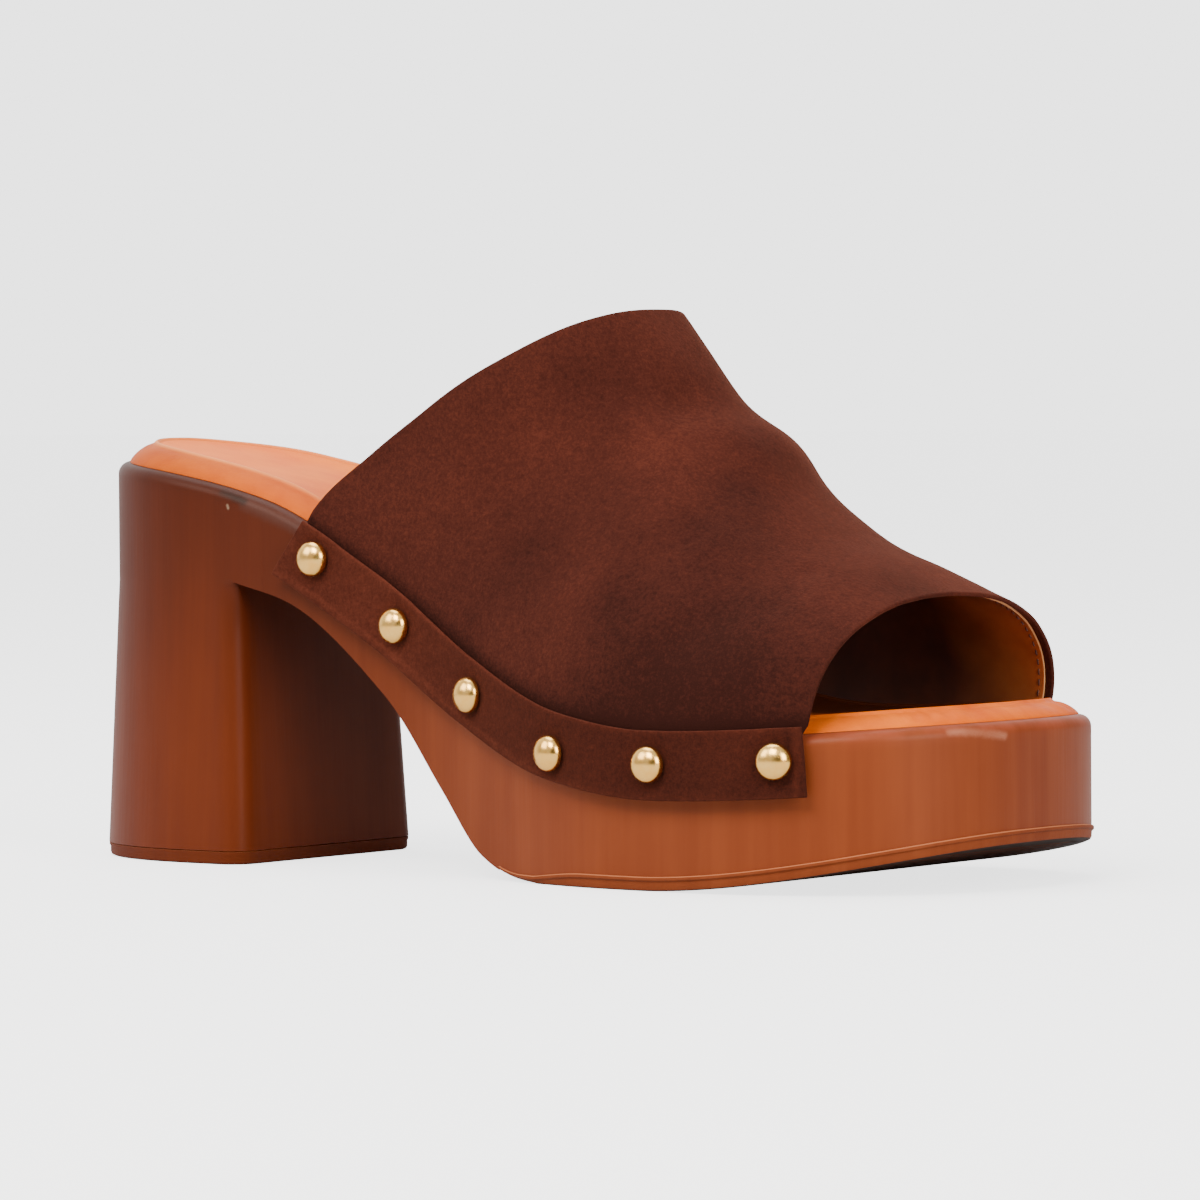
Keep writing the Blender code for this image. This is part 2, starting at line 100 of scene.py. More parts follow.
HEEL_MIDDLE = np.array((HEEL_DEPTH / 2, 0, 0))
WELD = 0.000004

Plan = namedtuple("Plan", "along width outer")
PLAN = (
    Plan(along=0.00, width=SEAT_WIDTH, outer=0.52),
    Plan(along=0.16, width=SEAT_WIDTH, outer=0.52),
    Plan(along=0.40, width=WAIST_WIDTH, outer=0.50),
    Plan(along=0.69, width=BALL_WIDTH, outer=0.51),
    Plan(along=1.00, width=TOE_WIDTH, outer=0.48),
)

# Height of the rim above its height at the ball, as a share of the heel's pitch, and of the lift at the toe
Rim = namedtuple("Rim", "along pitch lift")
RIM = (
    Rim(along=0.00, pitch=1.00, lift=0.0),
    Rim(along=0.12, pitch=0.95, lift=0.0),
    Rim(along=0.24, pitch=0.845, lift=0.0),
    Rim(along=0.38, pitch=0.56, lift=0.0),
    Rim(along=0.52, pitch=0.235, lift=0.0),
    Rim(along=0.64, pitch=0.052, lift=0.0),
    Rim(along=0.74, pitch=0.00, lift=0.0),
    Rim(along=1.00, pitch=0.00, lift=1.0),
)

# Underside of the waist, from the breast of the heel at 0 to the flat stretch under the ball at 1
Waist = namedtuple("Waist", "along height")
WAIST = (
    Waist(along=0.00, height=1.000),
    Waist(along=0.17, height=0.930),
    Waist(along=0.46, height=0.620),
    Waist(along=0.65, height=0.300),
    Waist(along=0.80, height=0.080),
    Waist(along=0.92, height=0.015),
    Waist(along=1.00, height=0.000),
)


def curve_through(rows, column):
    """Smooth curve through one column of a table against its first. It never overshoots between two rows."""
    at = np.array([row[0] for row in rows])
    value = np.array([getattr(row, column) for row in rows])
    step = np.diff(at)
    rise = np.diff(value) / step
    slope = np.zeros(len(at))
    slope[0], slope[-1] = rise[0], rise[-1]
    for i in range(1, len(at) - 1):
        if rise[i - 1] * rise[i] > 0:
            near, far = step[i] + 2 * step[i - 1], 2 * step[i] + step[i - 1]
            slope[i] = (near + far) / (near / rise[i - 1] + far / rise[i])

    def value_at(x):
        i = np.clip(np.searchsorted(at, x) - 1, 0, len(step) - 1)
        t = (np.clip(x, at[0], at[-1]) - at[i]) / step[i]
        return (
            value[i] * (1 + 2 * t) * (1 - t) ** 2
            + slope[i] * step[i] * t * (1 - t) ** 2
            + value[i + 1] * t * t * (3 - 2 * t)
            + slope[i + 1] * step[i] * t * t * (t - 1)
        )

    return value_at


plan_width = curve_through(PLAN, "width")
plan_outer = curve_through(PLAN, "outer")
rim_pitch = curve_through(RIM, "pitch")
rim_lift = curve_through(RIM, "lift")
waist_height = curve_through(WAIST, "height")


def progress(value, start, end):
    """How far a value has come from a start to an end: 0 before the one, 1 past the other."""
    return np.clip((value - start) / (end - start), 0, 1)


def fading(distance, width):
    """1 where a distance is 0, fading smoothly to nearly nothing at twice the width."""
    return np.exp(-((distance / width) ** 2))


def rounded_end(distance, length, squareness):
    gap = np.clip(1 - distance / length, 0, 1)
    return (1 - gap**squareness) ** (1 / squareness)


def half_width(side, x):
    """How far the wall of the sole stands from the long axis on one side, at x along the sole."""
    share = plan_outer(x / SOLE_LENGTH)
    width = plan_width(x / SOLE_LENGTH) * (share if side == OUTER else 1 - share)
    toe = OUTER_TOE_ROUNDING if side == OUTER else INNER_TOE_ROUNDING
    return width * rounded_end(x, SEAT_ROUNDING, 2.2) * rounded_end(SOLE_LENGTH - x, toe, 2.5)


def rim(x):
    """Height of the platform's top edge above the floor."""
    share = x / SOLE_LENGTH
    return PLATFORM_HEIGHT + rim_pitch(share) * (HEEL_HEIGHT - PLATFORM_HEIGHT) + rim_lift(share) * TOE_LIFT


def underside(x):
    """Height of the lower face above the floor, level under the seat and from its breast to the toe."""
    breast = rim(HEEL_DEPTH) - WAIST_THICKNESS
    waist = breast * waist_height((np.maximum(x, HEEL_DEPTH) - HEEL_DEPTH) / (FLAT_START - HEEL_DEPTH))
    flat_end = FLAT_START + FLAT_LENGTH
    toe = TOE_SPRING * (np.maximum(0, x - flat_end) / (SOLE_LENGTH - flat_end)) ** TOE_CURVE
    return np.where(x < FLAT_START, waist, toe)


def tread_thickness(x):
    """Thickness of the forepart tread, which thins to a tip at its rear end."""
    into = progress(x, TREAD_START, TREAD_START + TREAD_TAPER)
    return TREAD_TIP + (TREAD_THICKNESS - TREAD_TIP) * into * into * (3 - 2 * into)


def wall(side, x, out, z):
    """Points at x along the sole, out beyond its wall, at height z."""
    x, out, z = np.broadcast_arrays(*(np.asarray(value, float) for value in (x, out, z)))
    reach = 0.00002
    ahead, behind = np.minimum(x + reach, SOLE_LENGTH), np.maximum(x - reach, 0)
    turn = np.stack([half_width(side, behind) - half_width(side, ahead), side * (ahead - behind)], -1)
    turn /= np.linalg.norm(turn, axis=-1, keepdims=True)
    flat = np.stack([x, side * half_width(side, x)], -1) + turn * out[..., None]
    return np.concatenate([flat, z[..., None]], -1)


def places(start, end, count):
    """Places along the sole, closer together where its outline turns at the heel and toe."""
    first, last = (math.acos(1 - 2 * x / SOLE_LENGTH) for x in (start, end))
    return SOLE_LENGTH * (1 - np.cos(np.linspace(first, last, count))) / 2


def between(start, end, count):
    """Rows of evenly spaced points from each start to each end, both included."""
    return start[..., None, :] + (end - start)[..., None, :] * np.linspace(0, 1, count)[:, None]


def add_piece(name, sheets, material, sharp=40):
    """A piece from grids of points that meet at their edges, riding on the shoe's one body."""
    points, faces = [], []
    for sheet in sheets:
        rows, columns = sheet.shape[:2]
        index = len(points) + np.arange(rows * columns).reshape(rows, columns)
        corners = (index[:-1, :-1], index[:-1, 1:], index[1:, 1:], index[1:, :-1])
        faces += np.stack(corners, -1).reshape(-1, 4).tolist()
        points += (sheet.reshape(-1, 3) - HEEL_MIDDLE).tolist()
    mesh = bpy.data.meshes.new(name)
    mesh.from_pydata(points, [], faces)
    skin = bmesh.new()
    skin.from_mesh(mesh)
    bmesh.ops.remove_doubles(skin, verts=skin.verts, dist=WELD)
    bmesh.ops.dissolve_degenerate(skin, edges=skin.edges, dist=WELD)
    bmesh.ops.recalc_face_normals(skin, faces=skin.faces)
    skin.to_mesh(mesh)
    skin.free()
    mesh.materials.append(material)
    mesh.shade_smooth()
    mesh.set_sharp_from_angle(angle=math.radians(sharp))
    piece = bpy.data.objects.new(name, mesh)
    bpy.context.scene.collection.objects.link(piece)
    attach(piece, "root")
    return piece


def keep_value(piece, name, values):
    """Keeps a value on each vertex of a piece for its material to use."""
    kept = piece.data.attributes.new(name, "FLOAT", "POINT")
    kept.data.foreach_set("value", np.asarray(values, np.float32))


def points_of(piece):
    """The vertices of a piece, measured along the sole as all shapes are."""
    return np.array([vertex.co for vertex in piece.data.vertices]) + HEEL_MIDDLE


def colour(red, green, blue):
    """Linear colour from values between 0 and 255 as they are read off a screen."""
    shares = [value / 255 for value in (red, green, blue)]
    return (*(s / 12.92 if s <= 0.04045 else ((s + 0.055) / 1.055) ** 2.4 for s in shares), 1)


def add_node(tree, kind, inputs=(), **settings):
    """A shader node. Its inputs are values, or sockets of other nodes that it is linked to."""
    made = tree.nodes.new("ShaderNode" + kind)
    for setting, value in settings.items():
        setattr(made, setting, value)
    for socket, value in dict(inputs).items():
        if isinstance(value, bpy.types.NodeSocket):
            tree.links.new(value, made.inputs[socket])
        else:
            made.inputs[socket].default_value = value
    return made


def new_finish(name, **values):
    """A material and its shader, with the shader's plain values set."""
    finish = bpy.data.materials.new(name)
    finish.use_nodes = True
    shader = finish.node_tree.nodes["Principled BSDF"]
    for socket, value in values.items():
        shader.inputs[socket.replace("_", " ")].default_value = value
    return finish, finish.node_tree, shader


def new_group(name, inputs, outputs):
    """A shader group with named inputs and outputs, and its two end nodes."""
    group = bpy.data.node_groups.new(name, "ShaderNodeTree")
    for sockets, direction in ((inputs, "INPUT"), (outputs, "OUTPUT")):
        for label, kind in sockets.items():
            group.interface.new_socket(label, in_out=direction, socket_type="NodeSocket" + kind)
    return group, group.nodes.new("NodeGroupInput"), group.nodes.new("NodeGroupOutput")


def math_node(tree, operation, *values, clamp=False):
    """The result of an operation on values or sockets."""
    return add_node(tree, "Math", enumerate(values), operation=operation, use_clamp=clamp).outputs[0]


def vector_node(tree, operation, inputs, result="Vector"):
    """The result of an operation on vectors."""
    return add_node(tree, "VectorMath", inputs, operation=operation).outputs[result]


def stretched(tree, scale):
    """The place on the object, scaled to make a texture longer or finer along each axis."""
    place = add_node(tree, "TexCoord").outputs["Object"]
    return add_node(tree, "Mapping", {"Vector": place, "Scale": scale}).outputs["Vector"]


def noise_over(tree, scale, detail, roughness=0.5, distortion=0.0):
    """Noise that is fixed to the object, finer along an axis where its scale is greater."""
    inputs = {"Vector": stretched(tree, scale), "Scale": 1.0, "Detail": detail, "Roughness": roughness}
    return add_node(tree, "TexNoise", {**inputs, "Distortion": distortion}).outputs["Fac"]


def kept_value(tree, name):
    """A value that keep_value has kept on the mesh."""
    return add_node(tree, "Attribute", attribute_name=name).outputs["Fac"]


def add_relief(tree, shader, strength, distance, height):
    """Fine relief on a finish, from a height that changes over it."""
    bump = add_node(tree, "Bump", {"Strength": strength, "Distance": distance, "Height": height})
    tree.links.new(bump.outputs["Normal"], shader.inputs["Normal"])


def ramp(tree, value, *stops):
    """A colour ramp over a value, from pairs of position and screen colour."""
    made = add_node(tree, "ValToRGB", {"Fac": value})
    elements = made.color_ramp.elements
    while len(elements) < len(stops):
        elements.new(0.5)
    for element, (position, shade) in zip(elements, stops):
        element.position, element.color = position, colour(*shade)
    return made.outputs["Color"]


def mixed(tree, factor, first, second):
    """Two colours mixed by a factor. The node's colour inputs are its seventh and eighth."""
    return add_node(tree, "Mix", {0: factor, 6: first, 7: second}, data_type="RGBA").outputs[2]


def clamped(tree, value, low, high, to_low=0.0, to_high=1.0):
    """A value taken from one range to another and held inside it."""
    inputs = {"Value": value, "From Min": low, "From Max": high, "To Min": to_low, "To Max": to_high}
    return add_node(tree, "MapRange", inputs, interpolation_type="SMOOTHSTEP").outputs["Result"]


# Brown lacquer over upright grain: broad soft streaks, fine streaks, and clouds of lighter and darker
# lacquer. It is darker on the heel, most of all under the seat, than on the platform.
grain, grain_in, grain_out = new_group(
    "lacquered_grain", {"Contrast": "Float"}, {"Shade": "Float", "Height": "Float", "Lacquer": "Color"}
)
broad = noise_over(grain, (210, 210, 9), 2)
fine = noise_over(grain, (900, 900, 40), 3, 0.6)
cloud = noise_over(grain, (34, 34, 22), 3, 0.55)
streaks = math_node(grain, "MULTIPLY", broad, 0.55)
streaks = math_node(grain, "MULTIPLY_ADD", fine, 0.18, streaks)
streaks = math_node(grain, "MULTIPLY_ADD", cloud, 0.5, streaks)
centred = math_node(grain, "SUBTRACT", streaks, 0.615)
shade = math_node(grain, "MULTIPLY_ADD", centred, grain_in.outputs["Contrast"], 0.5, clamp=True)
foot_lacquer = ramp(grain, shade, (0.0, (79, 28, 10)), (1.0, (107, 45, 18)))
toe_lacquer = ramp(grain, shade, (0.0, (102, 41, 18)), (1.0, (136, 67, 34)))
seat_lacquer = ramp(grain, shade, (0.0, (60, 19, 6)), (1.0, (84, 32, 12)))
place = add_node(grain, "SeparateXYZ", {0: add_node(grain, "TexCoord").outputs["Object"]}).outputs
heel_lacquer = mixed(grain, clamped(grain, place["Z"], 0.015, 0.085), foot_lacquer, seat_lacquer)
lacquer = mixed(grain, clamped(grain, place["X"], 0.02, 0.13), heel_lacquer, toe_lacquer)
for output, value in (("Lacquer", lacquer), ("Shade", shade), ("Height", fine)):
    grain.links.new(value, grain_out.inputs[output])

# Marks on the outer side of the rim, each a streak from one place along the sole and depth below the top edge
# to another, as far to each side as its reach
Mark = namedtuple("Mark", "along below to_along to_below reach")
SOILED = Mark(along=0.0462, below=0.0008, to_along=0.0522, to_below=0.0014, reach=0.0017)
SCUFFED = Mark(along=0.0525, below=0.0018, to_along=0.0680, to_below=0.0016, reach=0.0026)
CHIPPED = Mark(along=0.0477, below=0.0036, to_along=0.0479, to_below=0.0041, reach=0.0006)
POLISH_AND_HIGHLIGHT = Mark(along=0.2314, below=0.0012, to_along=0.2355, to_below=0.0028, reach=0.0014)


def marked(tree, mark):
    """How strongly a point of the sole is covered by a mark, whose outline is broken up by grit."""
    place = add_node(tree, "TexCoord").outputs["Object"]
    start, end = (
        Vector(wall(OUTER, along, 0, rim(along) - below) - HEEL_MIDDLE)
        for along, below in (mark[:2], mark[2:4])
    )
    line = end - start
    beyond = vector_node(tree, "SUBTRACT", {0: place, 1: start})
    reached = vector_node(tree, "DOT_PRODUCT", {0: beyond, 1: line / line.length_squared}, "Value")
    share = add_node(tree, "Clamp", {"Value": reached}).outputs["Result"]
    nearest = vector_node(tree, "SCALE", {0: line, "Scale": share})
    away = vector_node(tree, "DISTANCE", {0: beyond, 1: nearest}, "Value")
    grit = noise_over(tree, (900, 900, 900), 4, 0.7)
    ragged = math_node(tree, "MULTIPLY_ADD", grit, -0.5 * mark.reach, away)
    return clamped(tree, ragged, 0.75 * mark.reach, -0.35 * mark.reach)


# Lacquered brown of the sole. Two values are kept on its mesh: one where the rim is pale, partly rubbed and
# partly a painted highlight, and one for the painted shade that darkens the rim beside the seat.
wood, tree, shader = new_finish(
    "lacquered_wood", Specular_IOR_Level=0.12, Specular_Tint=colour(255, 226, 204), Coat_Weight=0.08,
    Coat_Roughness=0.32, Coat_Tint=colour(255, 232, 212),
)
wood_grain = add_node(tree, "Group", {"Contrast": 1.15}, node_tree=grain).outputs
# Pale rim: partly rubbed wear, partly a painted highlight that grows towards the toes
patchy = clamped(tree, noise_over(tree, (150, 150, 150), 4), 0.35, 0.65, 0.2, 0.8)
rub_and_highlight_mask = math_node(tree, "MULTIPLY", kept_value(tree, "rub_and_highlight"), patchy)
shade = mixed(tree, rub_and_highlight_mask, wood_grain["Lacquer"], colour(142, 66, 42))
# Painted shade: the rim beside the seat is darkened
shade = mixed(tree, kept_value(tree, "darkened"), shade, colour(50, 18, 8))
shade = mixed(tree, marked(tree, SCUFFED), shade, colour(76, 44, 36))
shade = mixed(tree, marked(tree, SOILED), shade, colour(38, 26, 22))
shade = mixed(tree, marked(tree, CHIPPED), shade, colour(128, 104, 84))
# A polished spot at the toe: shinier, and paler partly as a painted highlight
polish_and_highlight = marked(tree, POLISH_AND_HIGHLIGHT)
tree.links.new(mixed(tree, polish_and_highlight, shade, colour(160, 98, 74)), shader.inputs["Base Color"])
dulled = math_node(tree, "MULTIPLY_ADD", wood_grain["Shade"], -0.12, 0.50)
smoothed = math_node(tree, "MULTIPLY_ADD", polish_and_highlight, -0.25, dulled)
tree.links.new(smoothed, shader.inputs["Roughness"])
add_relief(tree, shader, 0.12, 0.0003, wood_grain["Height"])

WALL_ROWS = 16
RIM_ROWS = 8
ACROSS = 18
CORNER_LEAD = 0.001
CORNER_GROWTH = 0.16
STEP_LENGTH = 0.0002

# Pale rim, partly rubbed wear and partly painted highlight, and painted shade on the rim beside the seat: how
# far below the top edge each reaches, and between which places along the sole it grows
Stretch = namedtuple("Stretch", "start end")
PALE_RIM_TOP = 0.0006
PALE_RIM_REACH = 0.0016
PALE_RIM_LEAST = 0.05
PALE_RIM_GROWTH = Stretch(start=0.060, end=0.140)
SEAT_SHADE_REACH = 0.0024
SEAT_SHADE_MOST = 0.75
SEAT_SHADE = Stretch(start=0.085, end=0.055)


def sole_bottom(x):
    """Bottom edge of the moulding, which rests on the forepart tread."""
    return underside(x) + np.where(x < TREAD_START, 0, tread_thickness(x))


def flank(side, x):
    """The sole's wall on one side at each x, from its bottom edge up over the rounded rim."""
    x = x[:, None]
    bottom, top = sole_bottom(x), rim(x)
    up = np.linspace(0, 1, WALL_ROWS) * (top - RIM_RADIUS - bottom) + bottom
    turn = np.linspace(0, math.pi / 2, RIM_ROWS + 1)[1:]
    over = top - RIM_RADIUS + RIM_RADIUS * np.sin(turn)
    out = np.concatenate([np.zeros(WALL_ROWS), RIM_RADIUS * (np.cos(turn) - 1)])
    return wall(side, x, out, np.concatenate([up, over], 1))


def heel_level(points, level):
    """Moves the heel's outline down to a level, from 0 under the seat to 1 at the joint with its tread."""
    top, floor = float(underside(HEEL_DEPTH)), TREAD_THICKNESS
    middle = HEEL_DEPTH / 2
    x = middle + (points[..., 0] - middle) * (1 + (HEEL_FOOT_DEPTH / HEEL_DEPTH - 1) * level)
    y = points[..., 1] * (1 + (HEEL_FOOT_WIDTH / SEAT_WIDTH - 1) * level)
    return np.stack([x, y, np.full_like(x, top + (floor - top) * level)], -1)


def heel_sides(level, rounding):
    """Outer and inner outline of the heel block at a level, its front corners rounded."""
    sides = []
    for side in SIDES:
        into = np.maximum(0, heel_places - (HEEL_DEPTH - HEEL_EDGE_RADIUS))
        drawn = (HEEL_EDGE_RADIUS - np.sqrt(np.maximum(0, HEEL_EDGE_RADIUS**2 - into**2))) * rounding
        outline = wall(side, heel_places, 0, 0)
        outline[:, 1] -= side * drawn
        sides.append(heel_level(outline, level))
    return sides


corner = HEEL_DEPTH - HEEL_EDGE_RADIUS * (1 - np.sin(np.linspace(0, math.pi / 2, 9)))
heel_places = np.concatenate([places(0, HEEL_DEPTH - HEEL_EDGE_RADIUS - CORNER_LEAD, 56), corner])
rear = places(HEEL_DEPTH, TREAD_START - STEP_LENGTH, 60)
front = places(TREAD_START, SOLE_LENGTH, 110)
sole_places = np.concatenate([heel_places, rear[1:], front])
outer, inner = flank(OUTER, sole_places), flank(INNER, sole_places)
top = between(outer[:, -1], inner[:, -1], ACROSS)
skin = np.concatenate([outer, top[:, 1:-1], inner[:, ::-1]], 1)
breast = len(heel_places) - 1
sole_under = between(outer[breast:, 0], inner[breast:, 0], ACROSS)

heel_block = []
for level in np.concatenate([[0], np.linspace(0.012, CORNER_GROWTH, 12), np.linspace(0.2, 1, 24)]):
    outer_side, inner_side = heel_sides(level, min(1, (level / CORNER_GROWTH) ** 0.5))
    across = between(outer_side[-1:], inner_side[-1:], ACROSS)[0]
    heel_block.append(np.concatenate([outer_side, across[1:-1], inner_side[::-1]]))
heel_foot = between(*heel_sides(1.0, 1.0), ACROSS)

sole = add_piece("sole_unit_wood", [skin, sole_under, np.array(heel_block), heel_foot], wood)
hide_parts("sole_unit")

place = points_of(sole)
along, below = place[:, 0], rim(place[:, 0]) - place[:, 2]
# Pale rim of rubbed wear and painted highlight, growing towards the toes; painted shade on the rim beside the
# seat
pale_rim_fade = fading(np.maximum(0, below - PALE_RIM_TOP), PALE_RIM_REACH)
keep_value(sole, "rub_and_highlight", pale_rim_fade * np.maximum(PALE_RIM_LEAST, progress(along, *PALE_RIM_GROWTH)))
keep_value(sole, "darkened", SEAT_SHADE_MOST * fading(below, SEAT_SHADE_REACH) * progress(along, *SEAT_SHADE))


# Treads. A thin rubber tread is cemented under the forepart and another under the heel. Their sides are the
# colour of the sole, their lips stand out a little at the joint with a painted highlight on their upward
# faces, and their ribbed faces, turned to the floor, are dark.
TREAD_EDGE = 0.0008
TREAD_INSET = 0.0003
TREAD_LIP = 0.0005
RIB_SPACING = 0.0042
RIB_DEPTH = 0.0006
RIB_BORDER = 0.0045
RIB_RUNOUT = 0.001
HEEL_LIP_HEIGHT = 0.0010
HEEL_LIP_TUCK = 0.002
TREAD_CLEARANCE = 0.00005
TOE_STRETCH = 0.012
TREAD_COLUMNS = 50

tread, tree, shader = new_finish(
    "tread_rubber_worn", Roughness=0.62, Specular_IOR_Level=0.15, Specular_Tint=colour(255, 226, 204)
)
side_brown = add_node(tree, "Group", {"Contrast": 1.2}, node_tree=grain).outputs["Lacquer"]
facing_down = add_node(tree, "SeparateXYZ", {0: add_node(tree, "NewGeometry").outputs["Normal"]}).outputs["Z"]
# Painted highlight: faces of the lip that turn upwards are paler
lip_highlight = mixed(tree, clamped(tree, facing_down, 0.1, 0.6), side_brown, colour(168, 98, 62))
# Faces turned straight down are darker
turned_down_dark = clamped(tree, facing_down, -0.70, -0.97)
tree.links.new(mixed(tree, turned_down_dark, lip_highlight, colour(40, 24, 18)), shader.inputs["Base Color"])
add_relief(tree, shader, 0.25, 0.0002, noise_over(tree, (1400, 1400, 1400), 3))


def tread_sheets(outer, inner, from_end, end):
    """A tread's walls, its lower face with grooves pressed across it, its upper face and one end."""
    face = between(outer[:, 0], inner[:, 0], TREAD_COLUMNS)
    share = np.linspace(0, 1, TREAD_COLUMNS)
    width = np.linalg.norm(face[:, -1] - face[:, 0], axis=-1)
    edge_distance = np.minimum(width[:, None] * np.minimum(share, 1 - share), from_end[:, None])
    groove = (0.5 + 0.5 * np.cos(2 * math.pi * face[..., 0] / RIB_SPACING)) ** 2
    face[..., 2] += RIB_DEPTH * groove * progress(edge_distance, RIB_BORDER, RIB_BORDER + RIB_RUNOUT)
    back = between(outer[:, -1], inner[:, -1], TREAD_COLUMNS)
    return [outer, inner, face, back, between(outer[end], inner[end], TREAD_COLUMNS)]


tread_places = np.linspace(TREAD_START + TREAD_CLEARANCE, SOLE_LENGTH - TOE_STRETCH, 240)
tread_places = np.concatenate([tread_places, places(SOLE_LENGTH - TOE_STRETCH, SOLE_LENGTH, 40)[1:]])
low, thickness = underside(tread_places), tread_thickness(tread_places)
edge = np.minimum(TREAD_EDGE, thickness / 2)
lip = np.minimum(TREAD_LIP, thickness / 3)
rows = (
    (-edge, low),
    (-0.3 * edge, low + 0.3 * edge),
    (0, low + edge),
    (0.1 * lip, low + thickness - 2.2 * lip),
    (lip, low + thickness - 1.4 * lip),
    (lip, low + thickness - 0.4 * lip),
    (0.6 * lip, low + thickness),
    (-2 * lip, low + thickness),
)
outer, inner = (np.stack([wall(side, tread_places, out, z) for out, z in rows], 1) for side in SIDES)
from_end = np.minimum(tread_places - TREAD_START, SOLE_LENGTH - tread_places)
sheets = tread_sheets(outer, inner, from_end, 0)
forepart_tread = add_piece("forepart_tread_rubber", sheets, tread)
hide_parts("forepart_tread")

rows = (
    (TREAD_EDGE, 0),
    (0.3 * TREAD_EDGE, 0.3 * TREAD_EDGE),
    (0, TREAD_EDGE),
    (0, TREAD_THICKNESS - HEEL_LIP_HEIGHT),
    (-0.5 * TREAD_LIP, TREAD_THICKNESS - 0.6 * HEEL_LIP_HEIGHT),
    (-0.5 * TREAD_LIP, TREAD_THICKNESS - 0.2 * HEEL_LIP_HEIGHT),
    (HEEL_LIP_TUCK, TREAD_THICKNESS),
)


def heel_tread_rows(outline):
    """The heel tread's wall under an outline, row by row from its lower face up."""
    flat = (outline - HEEL_MIDDLE) * (1, 1, 0)
    out = flat / np.linalg.norm(flat, axis=-1, keepdims=True)
    return np.stack([HEEL_MIDDLE + flat - out * (inset + TREAD_INSET) + (0, 0, z) for inset, z in rows], 1)


outer, inner = (heel_tread_rows(outline) for outline in heel_sides(1.0, 1.0))
sheets = tread_sheets(outer, inner, HEEL_DEPTH - heel_places, -1)
heel_tread = add_piece("heel_tread_rubber", sheets, tread)
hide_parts("heel_tread")


# Insole. A padded bed wrapped in tan leather: its border slopes up from the rim of the sole to a pressed
# ridge, and the bed inside the ridge is cupped for the heel and paler where the foot has polished it.
INSOLE_INSET = 0.0026
INSOLE_HEIGHT = 0.0040
INSOLE_TOE_HEIGHT = 0.0026
INSOLE_BORDER = 0.0060
INSOLE_RIDGE = 0.0007
RIDGE_HALF_WIDTH = 0.0006
BORDER_FULLNESS = 0.72
INSOLE_LIFT = 0.00005
PLEAT_SPACING = 0.0022
PLEAT_DEPTH = 0.00022
PLEATED = Stretch(start=SOLE_LENGTH - 0.016, end=SOLE_LENGTH - 0.008)
SEAT_CUP = 0.0020
CUP_LENGTH = 0.45 * SOLE_LENGTH
BED_EDGE = 0.0015
BED_COLUMNS = 36

# Where along or across the sole the foot has polished the bed, where the ridge has a painted highlight, and
# where painted shade darkens the hide
POLISHED_BED = Stretch(start=0.1125, end=0.0375)
RIDGE_HIGHLIGHT = Stretch(start=0.120, end=0.040)
UNDER_COLLAR = Stretch(start=0.085, end=0.115)
INSIDE_TOE_EDGE = Stretch(start=SOLE_LENGTH - 0.022, end=SOLE_LENGTH - 0.032)
FAR_SIDE = Stretch(start=-0.012, end=0.008)
DEEP_INSIDE = Stretch(start=0.190, end=0.160)
HEEL_BORDER = Stretch(start=0.080, end=0.030)

leather, tree, shader = new_finish("tan_leather_polished", Roughness=0.46, Specular_IOR_Level=0.06)
mottle = noise_over(tree, (70, 110, 70), 4, 0.6)
hide = ramp(tree, mottle, (0.25, (190, 74, 3)), (0.75, (223, 107, 10)))
polished = ramp(tree, mottle, (0.25, (236, 102, 12)), (0.75, (250, 130, 24)))
# Painted shade: the hide darkens under the upper, towards its far side, deep inside and on the border at the
# heel
hide = mixed(tree, kept_value(tree, "shaded"), hide, colour(70, 27, 6))
# Painted highlight: a paler line along the ridge at the heel
hide = mixed(tree, kept_value(tree, "ridge"), hide, colour(244, 156, 96))
tree.links.new(mixed(tree, kept_value(tree, "seat"), hide, polished), shader.inputs["Base Color"])
pores = add_node(tree, "TexVoronoi", {"Vector": stretched(tree, (1500, 1500, 1500)), "Scale": 1.0})
add_relief(tree, shader, 0.18, 0.00015, pores.outputs["Distance"])

x = places(0, SOLE_LENGTH, 220)[:, None]
thickness = INSOLE_HEIGHT + (INSOLE_TOE_HEIGHT - INSOLE_HEIGHT) * x / SOLE_LENGTH
inwards = np.concatenate([np.linspace(0, 0.88, 16) ** 2, np.linspace(0.80, 1.30, 26)]) * INSOLE_BORDER
slope = np.clip(inwards / INSOLE_BORDER, 0, 1)
up = thickness * np.sin(math.pi / 2 * slope) ** BORDER_FULLNESS + INSOLE_LIFT
up = up + INSOLE_RIDGE * fading(inwards - INSOLE_BORDER, RIDGE_HALF_WIDTH)
pleats = np.sin(x / PLEAT_SPACING * 2 * math.pi) * progress(x, *PLEATED)
up = up + PLEAT_DEPTH * pleats * np.sin(math.pi * slope)
outer, inner = (wall(side, x, -INSOLE_INSET - inwards, rim(x) + up) for side in SIDES)
middle = between(outer[:, -1], inner[:, -1], BED_COLUMNS)
cup = SEAT_CUP * progress(x, CUP_LENGTH, 0) * progress(x, 0, SEAT_ROUNDING)
middle[..., 2] -= cup * (1 - np.linspace(-1, 1, BED_COLUMNS) ** 4)
pad = np.concatenate([outer, middle[:, 1:-1], inner[:, ::-1]], 1)
insole = add_piece("insole_padded", [pad, between(pad[:, 0], pad[:, -1], 4)], leather)
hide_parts("insole")

